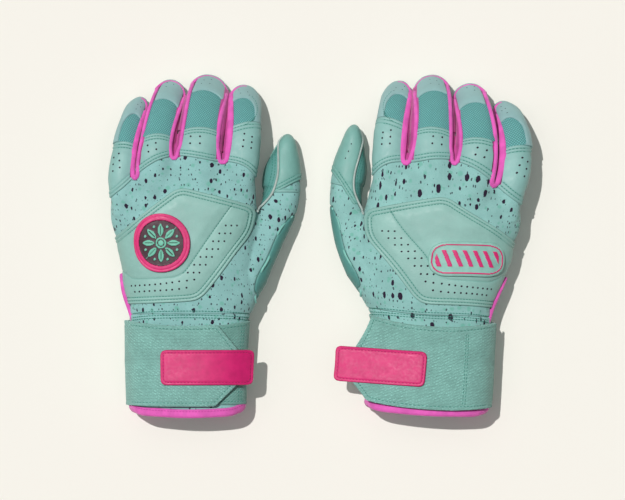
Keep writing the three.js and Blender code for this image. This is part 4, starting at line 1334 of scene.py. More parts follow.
levels = row_levels(double_row)
yoke = tops.cut("yoke").lines("yoke", levels).lines("front", levels)
d_yoke, d_front, d_seam = (np.maximum(yoke.values[k], 0) for k in ("yoke", "front", "top"))
puff = 0.5 * smoothstep(d_yoke, 4.5, 12) * smoothstep(d_front, 4.5, 10)
rims = border(d_yoke, leather_rise, double_row) + border(d_front, leather_rise, double_row)
yoke_lift = (rims - leather_rise + puff) * past_seam(d_seam) + sewn(d_seam)
yoke.values["edge"] = np.minimum(d_yoke, d_front)
# Painted shade along the yoke's stitched grooves
yoke.values["ink"] = np.clip(groove_shade(d_yoke, double_row) + groove_shade(d_front, double_row), 0, 1)
both("knuckle_yoke_leather", shell(yoke, yoke_lift, over_cloth), yoke_leather,
     replaces=["knuckle_yoke"])

# The overlay on the back of the hand, quilted by a stitched line inside its border
inner_line = curve([
    (33.5, 109), (30, 104.6), (20, 90.5), (9.4, 75.2), (0, 61.8), (-3.6, 58.6), (-9, 56.6),
    (-20, 55.9), (-33.3, 55.7), (-38.5, 57.8), (-46, 63)])
quilt_outline = np.vstack([inner_line, [[-80, 63], [-80, 160], [60, 160]]])
shield = tops.cut("shield").lines("shield", row_levels(shield_rows))
shield.values["quilt"] = inside_of(quilt_outline, shield.co)
shield = shield.lines("quilt", [-0.6, 0, 0.6])
d_shield, d_quilt, d_seam = (shield.values[k] for k in ("shield", "quilt", "top"))
field = d_shield > shield_rows[1] + 0.3  # inside the stitched rows
quilt = 0.75 * smoothstep(d_quilt, 0, 7) + 0.35 * smoothstep(-d_quilt, 0, 5)
quilt = quilt * smoothstep(d_shield, shield_rows[1], 9) - 0.4 * ridge(d_quilt, 0.55) * field
# Painted shade along the shield's stitched grooves and its quilted line
shield_groove_shade = groove_shade(d_shield, shield_rows) + 0.8 * ridge(d_quilt, 0.35) * field
shield.values["edge"] = d_shield
shield.values["ink"] = np.clip(shield_groove_shade, 0, 1)
shield_lift = (border(d_shield, 1.5, shield_rows) + quilt) * past_seam(d_seam) + sewn(d_seam)
for side in gloves:
    make(side, "back_overlay", shell(shield, shield_lift, 0.2), shield_leather,
                   replaces=["back_shield"])

yoke_tree, back_tree = yoke.tree(yoke_lift), back.tree(back_lift)
shield_tree, palm_tree = shield.tree(shield_lift), palm.tree(0)
hand_trees = [yoke_tree, back_tree, shield_tree, palm_tree, sleeve.tree(0)]


# Panels of the digits

def digit_surface(digit, start):
    """A digit's skin from a place along it to its tip, with the fields its panels are cut by."""
    columns = 88
    beyond = digit.length + (digit.end - digit.length) * np.sin(np.linspace(0, math.pi / 2, 12))
    along = np.concatenate([np.arange(start, digit.length - 0.2, 0.85), beyond])
    angle = (np.arange(columns) + 0.5) / columns * 2 * math.pi
    s, turn = (part.ravel() for part in np.meshgrid(along, angle, indexing="ij"))
    co = digit.point(s, turn)
    faces = grid_faces(len(along), columns, closed=True)
    a, b, c = (co[faces[:, k]] for k in range(3))
    faces = faces[np.linalg.norm(np.cross(b - a, c - a), axis=1) > 1e-7]
    place, _, across, up, half_width, _ = digit.frame(s)
    off = co - place
    surface = Surface(co, faces).facing(off)
    normal = surface.normals()
    # Distance round the digit from the middle of its back
    chords = np.linalg.norm(np.diff(co.reshape(len(along), columns, 3), axis=1), axis=2)
    arc = np.hstack([np.zeros((len(along), 1)), np.cumsum(chords, axis=1)])
    arc = arc[:, [columns // 4]] - arc
    full_width, full_height = digit.frame(np.minimum(s, digit.length))[4:]
    values = surface.values
    values["along"], values["full"], values["normal"] = s, full_width, normal
    values["across"], values["up"] = (off * across).sum(1), (off * up).sum(1)
    values["chart"] = np.stack([arc.ravel(), s, np.zeros(len(co))], -1)
    values["below"] = -seam_drop_share * full_height - values["up"]
    wide = np.abs(values["across"]) / np.maximum(half_width, 0.3)
    values["wide"] = (wide - 1) * full_width
    lift = uneven(co, (24, 11, 0.2), (9, 12, 0.07)) * smoothstep(s, start + 1, start + 6)
    surface.co = co + normal * lift[:, None]
    values["place"] = surface.co.copy()
    return surface


def corner_min(first, second, radius):
    """The lesser of two distances, with a rounded corner where they meet."""
    inside = (first < radius) & (second < radius)
    rounded = radius - np.hypot(radius - first, radius - second)
    return np.where(inside, rounded, np.minimum(first, second))


digit_trees = {}
digit_surfaces = {}
for number, finger in enumerate(fingers):
    whole = digit_surface(finger, finger.mesh - 2.4)
    values = whole.values
    s, a = values["along"], values["across"]
    outer = a * finger.outer > 0
    lateral = -values["wide"] - np.where(outer, finger.inset, gusset_show - 0.4)
    near = s - near_edge(finger, a, values["full"])
    far = finger.mesh_end - 5.0 * np.clip(np.abs(a) / values["full"], 0, 1.1) ** 2 - s
    far = np.where(outer, corner_min(far, lateral, 6), far)
    near_corner = np.where(outer, corner_min(near, lateral, 2), near)
    window = np.minimum(np.minimum(near_corner, far), lateral)
    strip = np.minimum(values["wide"] + 3.4, finger.length - 4 - s)
    values["window"] = np.where(values["up"] > 0, window, -FAR)
    values["around"] = -values["window"]
    values["top"] = -values["below"]
    values["gusset"] = np.where(outer, -FAR, strip)
    values["between"] = -values["gusset"]
    values["near"] = near
    both(f"{finger.name}_quilted_mesh", shell(whole.cut("window", -1.2), 0.05), mesh_cloth,
         rides=finger, replaces=[f"{finger.name}_mesh"], slot="quilted_mesh")
    cap = whole.cut("around").cut("top", side_gap).cut("between").cut("near")
    cap = edged(cap.lines("around", rim_levels).lines("top", seam_levels), "around")
    d_seam = cap.values["top"]
    cap_lift = border(cap.values["around"], leather_rise) * past_seam(d_seam) + sewn(d_seam)
    both(f"{finger.name}_tip_leather", shell(cap, cap_lift, over_cloth), tip_leather, rides=finger,
         replaces=[f"{finger.name}_tip"])
    low = panel(whole, "below")
    both(f"{finger.name}_palm_leather", shell(low, sewn(low.values["below"])), palm_leather,
         rides=finger, replaces=[f"{finger.name}_front"], slot="palm_leather")
    strips = whole.cut("gusset", -gusset_overlap).cut("top", side_gap)
    swells = (0, *gap_swells, 0)[number:number + 2]
    swell = np.where(strips.values["across"] < 0, *swells)
    both(f"{finger.name}_side_gussets", shell(strips, side_bulge(strips, swell)), orchid_shade,
         rides=finger, slot="pink_binding")
    digit_surfaces[finger.name] = whole
    digit_trees[finger.name] = whole.tree(0.45)

# The thumb past its crease: light leather over stretch fabric, palm leather towards the fingers
skin_tree = hand.tree(0.4)
hand_tree = hand.tree(0)
thumb_edges = {"left": ((57.2, 112.3), (76.3, 121.9)), "right": ((56.3, 104.8), (75.4, 120.2))}
thumb_edges = {side: np.array(ends) for side, ends in thumb_edges.items()}
thumb_rows = (1.8, 3.8)
thumb_start = 46
settles = (59, 62)  # where along the thumb its surface parts from the hand's skin
thumb_pads = {}
for side, digit in thumbs.items():
    whole = digit_surface(digit, thumb_start)
    values = whole.values
    s = values["along"]
    # Its first rows settle onto the hand's skin
    for k in np.flatnonzero(s < settles[1]):
        hit = hand_tree.find_nearest(Vector(whole.co[k]))
        if hit[3] < 6:
            whole.co[k] = lerp(whole.co[k], np.array(hit[0]), 1 - smoothstep(s[k], *settles))
    turned = whole.normals()
    values["normal"] = turned if (turned * values["normal"]).sum(1).mean() > 0 else -turned
    values["chart"] = cloth_chart(whole.co)
    start, end = thumb_edges[side]
    values["near"] = (whole.co[:, :2] - start) @ left_of(unit(end - start))
    region = np.where(values["up"] > -0.3 * values["full"], inside_of(piped_sides[side], whole.co),
                      -FAR)
    region = np.maximum(region, values["below"])
    values["inner"] = np.minimum(region, s - thumb_crease + 1)
    values["outer"] = -region
    values["before"] = np.minimum(1 - values["near"], s - thumb_crease + 0.8)
    low = panel(whole, "inner", seam_gap)
    make(side, "thumb_palm_leather", shell(low, sewn(low.values["inner"], 0.4)), palm_leather,
         rides=digit, replaces=["thumb_front"], slot="palm_leather")
    fabric = whole.cut("outer", seam_gap)
    make(side, "thumb_stretch", shell(fabric.cut("before"), -0.15), stretch, rides=digit,
         slot="speckled_stretch")
    light = fabric.lines("outer", seam_levels).cut("near").lines("near", row_levels(thumb_rows))
    d_seam, d_near = light.values["outer"], light.values["near"]
    light.values["edge"] = np.minimum(d_seam, d_near)
    # Painted shade along the thumb's stitched grooves
    light.values["ink"] = np.clip(groove_shade(d_near, thumb_rows), 0, 1)
    light_lift = (border(d_near, leather_rise + 0.3, thumb_rows) * smoothstep(d_seam, -0.8, 2.0)
                  + sewn(d_seam, 0.3))
    make(side, "thumb_leather", shell(light, light_lift, over_cloth), thumb_leather, rides=digit,
         replaces=["thumb_back"])
    thumb_pads[side] = {"light": light.tree(light_lift), "low": low.tree(0),
                        "whole": whole.tree(0.45)}
all_trees = [*hand_trees, *digit_trees.values()]

# Bindings along the gussets between the fingers, from the bottom of each V to the fingertips.
# For each side of a finger: the V that it ends in, the tape's place in from the side, its width
tapes = {("pinky", 1): (0, 1.9, 3.8), ("ring", -1): (0, 1.3, 2.3), ("ring", 1): (1, 2.9, 2.5),
         ("middle", -1): (1, 2.9, 2.5), ("middle", 1): (2, 2.6, 2.9), ("index", -1): (2, 3.2, 4.3)}
tape_starts = (3.2, 2.7, 3.0)
bare_side = (0, 0, 2)


def side_points(finger, sign):
    """Points in plan from the bottom of a V along one side of a finger to where its tip begins."""
    vee, tape_inset, _ = tapes[finger.name, sign]
    x, y, half_outer = vee_bottoms[vee]
    half_tape = tape_starts[vee] / 2
    s = np.arange(2, finger.length - 6, 2.5)
    half_width = finger.frame(s)[4]
    inset = lerp(tape_inset, 1.5, smoothstep(s, finger.mesh_end - 24, finger.mesh_end + 6))
    angle = np.arccos(np.clip((half_width - inset) / half_width, 0, 1) ** (digit_corner / 2))
    points = finger.point(s, angle if sign > 0 else math.pi - angle)[:, :2]
    points = points[points[:, 1] > y + 10]
    radius = half_outer - half_tape
    turn = np.radians([-35, -10, 15, 40, 65, 85])
    across = x - sign * radius * np.sin(turn)
    start = np.stack([across, y + half_tape + radius * (1 - np.cos(turn))], -1)
    straight = [x - sign * (radius + 0.1), y + half_tape + radius + 2.2]
    return np.vstack([start, [straight], points])


def tip_points(finger, from_degrees, to_degrees):
    """Points in plan round the fingertip's outline, between two directions from its middle."""
    rows = digit_surfaces[finger.name]
    near_tip = rows.co[rows.values["along"] > finger.length - 9]
    points = []
    for turn in np.radians(np.linspace(from_degrees, to_degrees, 13)):
        way = np.array([math.cos(turn), math.sin(turn)])
        points.append(near_tip[(near_tip[:, :2] @ way).argmax(), :2] - way * 0.35)
    return np.array(points)


for finger in fingers:
    left, right = ((finger.name, sign) in tapes for sign in (-1, 1))
    left_vee, left_width, right_vee, right_width = (
        tapes.get((finger.name, sign), bare_side)[k] for sign in (-1, 1) for k in (0, 2))
    lean = finger.lean + finger.turn
    tip = tip_points(finger, (172 if left else 108) - lean, (8 if right else 84) - lean)
    before = [side_points(finger, -1)] if left else []
    after = [side_points(finger, 1)[::-1]] if right else []
    path = curve(np.vstack([*before, tip, *after]))
    for _ in range(4):
        path = soft_line(path, 1)
    places, normals = drop([skin_tree, digit_trees[finger.name], yoke_tree], path, floor=12)
    places[:, 2] = soft_line(places[:, 2:], 16)[:, 0]
    normals = unit(soft_line(unit(normals) * (1, 1, 0.6) + (0, 0, 0.9), 12))
    s, a = finger.chart(places)[:2]
    thin = smoothstep(s, finger.length - 10, finger.length + 1)
    count = np.arange(len(places), dtype=float)
    from_bottom = np.minimum(count if left else 99, count[::-1] if right else 99)
    narrow = np.where(a < 0, tape_starts[left_vee], tape_starts[right_vee])
    wide = np.where(a < 0, left_width, right_width)
    wide = lerp(narrow, wide, smoothstep(from_bottom, 4, 14))
    widths = soft_line(lerp(wide, 1.5, thin)[:, None], 20)[:, 0]
    band = swept(places, normals, widths, lerp(2.0, 1.3, thin), 14, lerp(0.35, 0.0, thin))
    both(f"{finger.name}_binding", band, orchid, rides=finger, slot="pink_binding")

# Piping of the thumb, the palm leather's edge and the side vent
for side, digit in thumbs.items():
    piping = cord(pipings[side], [skin_tree, thumb_pads[side]["whole"]], 1.5, 1.5, 0.45)
    make(side, "thumb_piping", piping, grey_piping, rides=digit, slot="pink_binding")

wrap_edge = curve([(69.5, 97.2), (66.5, 94), (62, 88), (58.2, 78.6), (55, 68.5), (50, 60.4),
                   (45.9, 54), (43.6, 45.5), (43.4, 40)])
both("palm_wrap_piping", cord(wrap_edge, all_trees, 1.7, 1.5, 0.5), rolled_leather,
     slot="palm_leather")

places = curve([(-45.4, 58.2, 20.5), (-44.7, 56.2, 22.5), (-42.9, 50.5, 24), (-40.4, 42.5, 24.5),
                (-37.9, 35.4, 25.5), (-35.4, 27, 27)], 0.8)
normals = np.broadcast_to(unit(np.array([-0.45, 0, 0.9])), places.shape)
both("side_vent_binding", swept(places, normals, 2.9, 2.4, sides=14), orchid,
     replaces=["vent_binding"], slot="pink_binding")

# The cuff's folded binding: its profile as the step out from the wrist and the place along,
# drawn a little longer than it is made
profile = curve([
    (-0.1, -31.2), (0.6, -31.1), (1.15, -31.8), (1.35, -33), (1.4, -35), (1.2, -36.8), (0.5, -38),
    (-0.6, -38.5), (-1.7, -38.1), (-2.4, -36.8), (-2.6, -35), (-2.5, -32.2), (-1.9, -31.4),
    (-1.3, -33), (-1.25, -35.2), (-0.6, -35.7), (-0.2, -35)], 0.45, closed=True)[:-1]
angle = circle(150)
rings = []
for grow, y in profile:
    u, v = round_section(angle, hand_corner, wrist_side + grow, wrist_rise + grow)
    rings.append(np.stack([u, 0.78 * (y + 38.5) - 36.5 + hem_line(u, angle), wrist_middle + v], -1))
co = np.concatenate(rings)
faces = grid_faces(len(rings), len(angle), closed=True, looped=True)
chart = np.stack([np.tile(angle * 34, len(rings)), co[:, 1], np.zeros(len(co))], -1)
binding = Surface(co, faces, {"place": co.copy(), "chart": chart})
# The third ring from the end lies on the outside, which tells which way the faces look
if (binding.normals() * (co - (0, -35, wrist_middle)))[-len(angle) * 3].sum() < 0:
    binding.faces = binding.faces[:, ::-1]
both("cuff_binding_tape", binding, orchid, replaces=["cuff_binding"], slot="pink_binding")


# The strap

def wrist_line(level, leave, end_x):
    """A line round the back of the wrist at a height over it, running straight on from an angle."""
    turn = np.radians(np.linspace(174, leave, 120))
    u, v = round_section(turn, hand_corner, wrist_side + level, wrist_rise + level)
    line = np.stack([u, wrist_middle + v], -1)
    ahead = unit(line[-1] - line[-2])
    line = np.vstack([line, line[-1] + ahead * (end_x + wrist_side + 4)])
    return soft_line(resample(line, strap_step), 8)


def wrist_sheet(line, out, lengths, across, looped=False):
    """A sheet round the wrist through a line. Its chart is the distance round and along."""
    grid = lambda *parts: np.stack(np.broadcast_arrays(*parts), -1).reshape(-1, 3)
    co = grid(line[:, :1], across, line[:, 1:])
    normal = grid(out[:, :1], across * 0, out[:, 1:])
    values = {"normal": normal, "chart": grid(lengths[:, None], across, 0.0), "place": co.copy()}
    faces = grid_faces(len(line), len(across), looped=looped)
    return Surface(co, faces, values).facing(normal)


def strap_sheet(level, leave, end_x, start_drop=0.0):
    """A flat sheet round the back of the wrist and straight on to the strap's end."""
    line = wrist_line(level, leave, end_x)
    out = left_of(unit(np.gradient(line, axis=0)))
    if out[len(out) // 2, 1] < 0:
        out = -out
    lengths = np.arange(len(line)) * strap_step
    line = line - out * (start_drop * (1 - smoothstep(lengths, 4, 22)))[:, None]
    surface = wrist_sheet(line, out, lengths, np.linspace(-half_strap - 6, half_strap + 1, 84))
    co = surface.co
    lift = uneven(co * (1, 0.6, 1), (30, 21, 0.25)) + uneven(co, (13, 22, 0.1))
    surface.co = co + surface.values["normal"] * lift[:, None]
    return surface


def outlined(surface, outline):
    """A sheet trimmed to an outline in plan, with the distance inside it."""
    surface.values["inside"] = inside_of(outline, surface.co)
    trimmed = surface.cut("inside").lines("inside", rim_levels)
    trimmed.values["edge"] = trimmed.values["inside"]
    return trimmed


def over_wrist(x):
    """1 in the middle of the wrist's back and 0 at its sides."""
    return np.clip(1 - (x / 42) ** 2, 0, 1)


def sagging(sag, sign, start, end, inset=0.0):
    """One edge of the strap in plan between two places across, lower in the middle of the wrist."""
    x = np.linspace(start, end, 12)
    return np.stack([x, sign * (half_strap + 0.4 - inset) - sag * over_wrist(x)], -1)


def upright(x, low, high, count):
    """A straight line in plan along the hand."""
    return np.stack([np.full(count, x), np.linspace(low, high, count)], -1)


strap_step = 0.8
# Heights of the strap's layers over the wrist
flap_level, hook_level, loop_level, tab_level, base_level = 4.2, 3.2, 2.2, 6.1, 1.1
# For each glove: the angle where the flap leaves the wrist, how far the flap and the tab reach
# across, and the tab's place along
flaps = {"left": (42, 33, 44, -3.3), "right": (66, 52, 65, -6.2)}
# How far the strap's upper and lower edge sag on the back of the wrist
sags = {"left": (4.0, 0.8), "right": (5.4, 4.2)}
strap_bend = ("strap", (-41.5, 0, 30.8), (-38.8, 0, 39.0))
strap_thread = {"pitch": 2.4, "length": 1.5, "width": 0.42}
tab_length, half_tab, tab_seam = 61, 11.75, 1.9
pad_outline = box_outline((-24, -21), (16, 21), 3)
for side, (leave, flap_end, tab_end, tab_y) in flaps.items():
    taper = flap_end - 14
    upper, lower = sags[side]
    low_edge = sagging(lower, -1, -42, taper)
    high_edge = sagging(upper, 1, taper, -42)
    flap_outline = rounded_outline(np.vstack([
        [(-80, low_edge[0, 1])], low_edge, [(flap_end, tab_y - 11.7), (flap_end, tab_y + 11.7)],
        high_edge, [(-80, high_edge[-1, 1])]]), 1.2)
    flap = outlined(strap_sheet(flap_level, leave, flap_end, start_drop=2.3), flap_outline)
    inside = flap.values["inside"]
    flap_lift = 0.6 + border(inside, 1.0, soft=0.7) - 0.25 * ridge(inside - 2.6, 0.5)
    make(side, "strap_flap_elastic", shell(flap, flap_lift, 0.1), elastic, rides=strap_bend,
         replaces=["strap_flap"], slot="elastic")
    for name, level, body_name in (("hook_pad", hook_level, "strap"),
                                   ("loop_pad", loop_level, "hands")):
        pad = outlined(strap_sheet(level, leave, 20), pad_outline)
        make(side, f"{name}_pile", shell(pad, 0.55, 0.1), loops, rides=body_name,
             replaces=[name], slot="hook_and_loop")
    low = np.array([tab_end - tab_length, tab_y - half_tab])
    high = np.array([tab_end, tab_y + half_tab])
    tab = outlined(strap_sheet(tab_level, leave, tab_end), box_outline(low, high, 4.4, 0.5))
    tab = tab.lines("inside", [1.4, tab_seam, 2.4])
    tab_lift = border(tab.values["inside"], 1.5, (tab_seam,), soft=0.9)
    make(side, "pull_tab_rubber", shell(tab, tab_lift, 0.0), hot_pink, rides="strap",
         replaces=["pull_tab"], slot="rubber")
    tab_tree = tab.tree(tab_lift)
    tab_row = closed(box_outline(low + tab_seam, high - tab_seam, 3, 0.5))
    make(side, "pull_tab_stitches",
         stitches([drop([tab_tree], tab_row)], pitch=2.3, length=1.4, width=0.4), pink_thread,
         rides="strap", slot="rubber")
    edges = []
    for sign, sag in ((-1, lower), (1, upper)):
        end = (flap_end - 2.6, tab_y + sign * 10.5)
        line = np.vstack([sagging(sag, sign, -37, taper - 0.6, 2.4), [end]])
        edges.append(resample(line, 1.0))
    if side == "right":
        edges += [upright(x, -28, 19.5, 50) for x in (-22.6, -21)]
    edges = [drop([flap.tree(flap_lift), tab_tree], line) for line in edges]
    make(side, "strap_flap_stitches", stitches(edges, **strap_thread), teal_thread, rides="strap",
         slot="elastic")

# The strap's lower layer, flat where it lies on the table
turn = circle(220)
u, v = round_section(turn, hand_corner, wrist_side + base_level, wrist_rise + base_level)
base = wrist_sheet(np.stack([u, wrist_middle + v], -1), np.stack([np.cos(turn), np.sin(turn)], -1),
                   turn * 36, np.linspace(-half_strap, half_strap, 72), looped=True)
x, y, z = base.co.T
top_sag = 4.4
sunk = top_sag * (z > wrist_middle) * over_wrist(x)
base.values["inside"] = np.minimum(half_strap - sunk - y, half_strap + y) + 0.03
base = base.cut("inside").lines("inside", [0.3, 0.8])
inside = base.values["edge"] = base.values["inside"]
base_lift = border(inside, 0.7, soft=0.7) - 0.2 * ridge(inside - 2.6, 0.5)
band = shell(base, base_lift, -0.75)
band.co[:, 2] = np.maximum(band.co[:, 2], 0.05)
both("strap_base_elastic", band, elastic_low, replaces=["strap_base"], slot="elastic")
base_tree = base.tree(base_lift)


# Stitching on the panels of the hand

def offset_line(line, distance):
    """A line in plan moved to its left by a distance."""
    return line + left_of(unit(np.gradient(line, axis=0))) * distance


def laid(line, trees=None):
    """A line in plan laid on the panels, with its normals."""
    places, normals = drop(trees or all_trees, resample(np.asarray(line, float), 1.0))
    return places, unit(soft_line(normals, 3))


def seam_line(y):
    """A seam across the back of the wrist."""
    return curve([(-35.5, y - 1.2), (-25, y), (0, y + 0.6), (25, y), (38.5, y - 1.2)])


for side, start in (("left", -32), ("right", -50)):
    lines = [offset_line(yoke_line, distance) for distance in double_row]
    rows = [laid(line[(line[:, 0] > start) & (line[:, 0] < 46.5)]) for line in lines]
    make(side, "yoke_stitches", stitches(rows), teal_thread)

rows = []
for distance in shield_rows:
    line = offset_line(closed(shield_outline), -distance)
    line = np.roll(line, -int(line[:, 0].argmin()), axis=0)
    rows.append(laid(line[line[:, 0] > -45.5 + 0.1 * (line[:, 1] - 40)]))
rows.append(laid(inner_line[(inner_line[:, 0] > -3) & (inner_line[:, 1] < 106)]))
both("hand_stitches", stitches(rows), teal_thread)
rows = [laid(seam_line(y)) for y in (29.2, 30.9, 33.6)]
both("cuff_seam_stitches", stitches(rows, pitch=1.9, length=1.55, width=0.6, height=0.5),
     teal_thread)

for finger in fingers:
    rows = []
    for distance in double_row:
        share = np.linspace(-0.86, 0.62 if finger.outer else 0.86, 30) * (finger.outer or 1)
        a = share * finger.frame([finger.mesh])[4][0]
        s = near_edge(finger, a, finger.width / 2 * 0.95) - distance
        half_width = finger.frame(s)[4]
        angle = np.arccos(np.sign(a) * (np.abs(a) / half_width) ** (digit_corner / 2))
        rows.append(laid(finger.point(s, angle)[:, :2]))
    both(f"{finger.name}_base_stitches", stitches(rows), teal_thread)

rim = curve([(37, 157.6), (41.5, 160), (44.6, 163.4), (46, 168), (45.4, 172.8), (42.6, 177)])
both("index_rim_stitches", stitches([laid(rim, [digit_trees["index"]])], height=1.0), teal_thread,
     rides=fingers[3])
for side, digit in thumbs.items():
    pads = thumb_pads[side]
    start, end = thumb_edges[side]
    line = lerp(start, end, np.linspace(0.08, 0.9, 30)[:, None])
    inward = left_of(unit(end - start))
    rows = [laid(line + inward * distance, [pads["light"]]) for distance in thumb_rows]
    make(side, "thumb_stitches", stitches(rows), teal_thread, rides=digit)
    lines = [offset_line(pipings[side], distance) for distance in (2.4, 4.4)]
    rows = [laid(line[(line[:, 1] > 108) & (line[:, 1] < 144)], [pads["low"], palm_tree])
            for line in lines]
    make(side, "thumb_side_stitches", stitches(rows), teal_thread, rides=digit)

rows = []
for sign in (1, -1):
    turn = np.linspace(0.12, math.pi - 0.12, 90) * sign
    u, v = round_section(turn, hand_corner, wrist_side + 1.45, wrist_rise + 1.45)
    rows.append((np.stack([u, hem_line(u, turn) - 32.1, wrist_middle + v], -1),
                 unit(np.stack([u / wrist_side, u * 0, v / wrist_rise], -1))))
both("cuff_binding_stitches", stitches(rows, pitch=2.1), orchid_thread, slot="pink_binding")

rows = [laid(upright(x, -25.5, 24.0, 40), [base_tree]) for x in (34.6, 36.2)]
rows += [laid(sagging(sag, sign, -30, 38, 2.6), [base_tree])
         for sign, sag in ((-1, 0), (1, top_sag))]
both("strap_base_stitches", stitches(rows, **strap_thread), teal_thread, slot="elastic")


# Punched holes, drawn as dark discs of painted shade

def punch(name, points, **facts):
    """Punched holes at points in plan."""
    places, normals = drop(all_trees, np.asarray(points, float))
    both(name, holes(places, normals), hole_shade, **facts)


# Seven rows of three along the shield's lower band
band_holes = []
for k in range(7):
    band_holes += [(26.2 - 4.22 * k + 3.75 * column, 90.9 - 5.2 * k) for column in range(3)]
# Two rows under the quilted line: places across and along
band_holes += [(5.0, 55.1), (0.3, 54.4), (-4.7, 53.9), (-9.2, 53.2), (-13, 52.7), (-16.9, 52.2),
               (-20.5, 51.9), (-24.2, 51.6), (-27.5, 51.4), (-30.9, 51.2), (-33.9, 51.0),
               (-36.6, 50.9)]
band_holes += [(0, 49.7), (-4.7, 48.9), (-9.2, 48.4), (-13, 48.1), (-16.9, 47.9), (-20.5, 47.7),
               (-24.2, 47.5), (-27.5, 47.3), (-30.9, 47.1), (-33.9, 46.9)]
punch("overlay_holes", band_holes)

base_holes = {
    "pinky": [(-45.3, 138.7), (-44.8, 134), (-44.4, 129.4), (-48.7, 136), (-49, 131.5), (-49, 127)],
    "ring": [(-20.4, 145.6), (-20, 141.4), (-25.8, 144), (-25.2, 139.8)],
    "middle": [(2.3, 150), (2, 145.4), (8.3, 150), (8.3, 145.4)],
    "index": [(37.1, 151.8), (36.7, 147.6), (36.3, 143.4), (42.4, 149.8), (42.3, 146.2),
              (42, 142.4)],
}
tip_holes = {
    "pinky": [(-33, 171.2), (-30.6, 172.6), (-34, 168.2), (-31.2, 169.6)],
    "ring": [(-12.7, 186), (-7.6, 187.4), (-13.3, 183.2), (-8.6, 184.8)],
    "middle": [(11.3, 187.6), (16, 188), (9.6, 185.2), (15, 185.2)],
    "index": [(34.4, 181), (40.2, 179.6), (35.4, 178.8), (41.2, 177.4)],
}
for finger in fingers:
    punch(f"{finger.name}_base_holes", base_holes[finger.name])
    found = drop([digit_trees[finger.name]], tip_holes[finger.name])
    both(f"{finger.name}_tip_holes", holes(*found, radius=0.36, lift=0.55), hole_shade,
         rides=finger)
found = drop([thumb_pads["right"]["light"]], [(65.4, 140), (66.9, 135.2), (68.3, 130.6)])
make("right", "thumb_holes", holes(*found, radius=0.5), hole_shade, rides=thumbs["right"])


# Moulded badge and patch, each with a plain ornament

badge_middle = np.array([-16.7, 79.4])
badge_radius = 19.5
patch_middle = np.array([-18.6, 70.6])
patch_half = np.array([24, 12])


def plate(outline, step, relief, seat=0.9):
    """A moulded plate seated on the overlay. The relief gives heights and inks from places."""
    low, high = outline.min(0) - 1, outline.max(0) + 1
    xs, ys = np.arange(low[0], high[0], step), np.arange(low[1], high[1], step)
    x, y = np.meshgrid(xs, ys, indexing="ij")
    points = np.stack([x.ravel(), y.ravel()], -1)
    height = drop([shield_tree, back_tree], points)[0][:, 2].reshape(x.shape)
    for _ in range(40):
        wide = np.pad(height, 1, mode="edge")
        height = (wide[:-2, 1:-1] + wide[2:, 1:-1] + wide[1:-1, :-2] + wide[1:-1, 2:]) / 4
    co = np.hstack([points, height.reshape(-1, 1)])
    surface = Surface(co, grid_faces(len(xs), len(ys))).facing((0, 0, 1))
    surface.values["normal"] = surface.normals()
    surface.values["place"] = co.copy()
    surface = outlined(surface, outline)
    del surface.values["edge"]
    rise, surface.values["ink"] = relief(surface.co[:, :2], surface.values["inside"])
    return shell(surface, seat + rise, seat - 1.6)


def rosette(points, inside):
    """A ring round a dark field with eight leaves, eight beads and a bead in the middle."""
    x, y = (points - badge_middle).T
    part = math.pi / 4
    radius, turn = np.hypot(x, y), np.arctan2(y, x)
    local = np.mod(turn + part / 2, part) - part / 2
    offset, length = np.abs(radius * np.sin(local)), radius * np.cos(local)
    leaf = 1.95 * np.sin(math.pi * np.clip((length - 4.2) / 8.6, 0, 1)) ** 0.8 - offset
    leaf = np.minimum(leaf, np.where((length > 5.5) & (length < 11.2), offset - 0.28, FAR))
    middle = np.maximum(1.9 - radius, 0.55 - np.abs(radius - 3.1))
    other = np.mod(turn, part) - part / 2
    bead = 0.85 - np.hypot(radius * np.sin(other), radius * np.cos(other) - 11.6)
    shape = np.maximum(np.maximum(leaf, middle), bead)
    rim = smoothstep(radius, 15.0, 15.4)
    rise = border(inside, 1.5) - 0.75 * (1 - rim) - 0.3 * ridge(radius - 17.6, 0.28)
    rise = rise + 0.4 * smoothstep(shape, -0.1, 0.25)
    return rise, np.where(radius > 15.2, 0.0, np.where(shape > 0, 2.0, 1.0))


def bars(points, inside):
    """A raised frame round slanted bars."""
    x, y = (points - patch_middle).T
    slant = np.mod(x - y * 0.45 + 3.2, 6.4) - 3.2
    shape = np.minimum(1.35 - np.abs(slant), np.minimum(5.6 - np.abs(y), inside - 4.4))
    shape = np.maximum(shape, 0.45 - np.abs(inside - 2.2))
    rise = border(inside, 1.2) + 0.45 * smoothstep(shape, -0.1, 0.3)
    return rise, np.where(shape > 0, 1.0, 0.0)


turn = circle(120)[:, None]
disc = badge_middle + badge_radius * np.hstack([np.cos(turn), np.sin(turn)])
make("left", "badge_rosette", plate(disc, 0.42, rosette), badge_rubber, replaces=["badge"],
     slot="rubber")
lozenge = box_outline(patch_middle - patch_half, patch_middle + patch_half, 13, 0.6)
make("right", "patch_bars", plate(lozenge, 0.45, bars), patch_rubber, replaces=["patch"],
     slot="rubber")


# Floor, light and camera

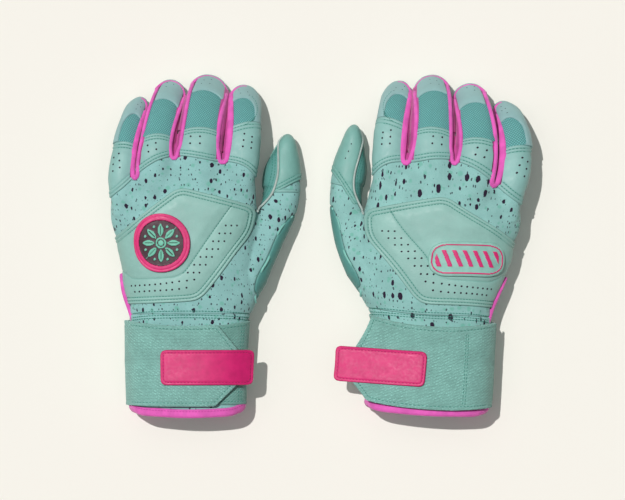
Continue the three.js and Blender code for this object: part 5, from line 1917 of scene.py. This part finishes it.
table_reach, table_drop = 1.6, 0.0002
corners = np.array([(-1, -1, 0), (1, -1, 0), (1, 1, 0), (-1, 1, 0)]) * table_reach
table = bpy.data.objects.new("table", mesh_of(
    "table", corners - (0, 0, table_drop), np.array([(0, 1, 2), (0, 2, 3)])))
bpy.context.scene.collection.objects.link(table)
paper = Look("pale_paper", (0.84, 0.807, 0.738, 1), 0.9, specular=0.0)
cloudy = paper.noise(paper.add("TexCoord").outputs["Object"], 3.0)
paper.paint(paper.blend(cloudy, (0.838, 0.805, 0.736, 1), (0.842, 0.809, 0.74, 1)))
paper.shader.inputs["Emission Color"].default_value = (0.94, 1.0, 0.97, 1)
paper.shader.inputs["Emission Strength"].default_value = 0.07
table.data.materials.append(paper.material)
table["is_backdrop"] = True

# An even white sky, a little stronger from the left
world = bpy.data.worlds.new("studio")
world.use_nodes = True
nodes, links = world.node_tree.nodes, world.node_tree.links
backdrop = nodes["Background"]
backdrop.inputs[0].default_value = (1.0, 1.0, 1.0, 1)
way, split, fall = (nodes.new("ShaderNode" + kind)
                    for kind in ("NewGeometry", "SeparateXYZ", "MapRange"))
links.new(way.outputs["Position"], split.inputs[0])
links.new(split.outputs[0], fall.inputs[0])
for number, value in enumerate((-1, 1, 0.15, 0.03), 1):
    fall.inputs[number].default_value = value
links.new(fall.outputs[0], backdrop.inputs[1])
bpy.context.scene.world = world


def lamp(name, energy, degrees, direction):
    """A distant lamp that shines in a direction, soft by its angle."""
    light = bpy.data.objects.new(name, bpy.data.lights.new(name, "SUN"))
    light.data.energy = energy
    light.data.angle = math.radians(degrees)
    light.rotation_euler = Vector(direction).to_track_quat("-Z", "Y").to_euler()
    bpy.context.scene.collection.objects.link(light)


lamp("key", 2.6, 0.7, (0.25, -0.25, -1))
lamp("fill", 0.5, 70, (0.1, -0.06, -1))

# The photograph's view: straight down, its width 0.417 m on the plane 20 mm over the table
camera_height, plane_height, view_width = 4.0, 0.02, 0.41667
camera = bpy.data.objects.new("camera", bpy.data.cameras.new("camera"))
camera.location = (-0.0035, -0.0049, camera_height)
camera.data.sensor_width = 36
camera.data.lens = camera.data.sensor_width * (camera_height - plane_height) / view_width
camera.data.clip_end = 20
bpy.context.scene.collection.objects.link(camera)
bpy.context.scene.camera = camera
bpy.context.scene.view_settings.view_transform = "Standard"
bpy.context.scene.view_settings.look = "None"

({"cad": [list(corner) for corner in cad_bounds],
           "visual": [list(corner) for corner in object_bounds()]})
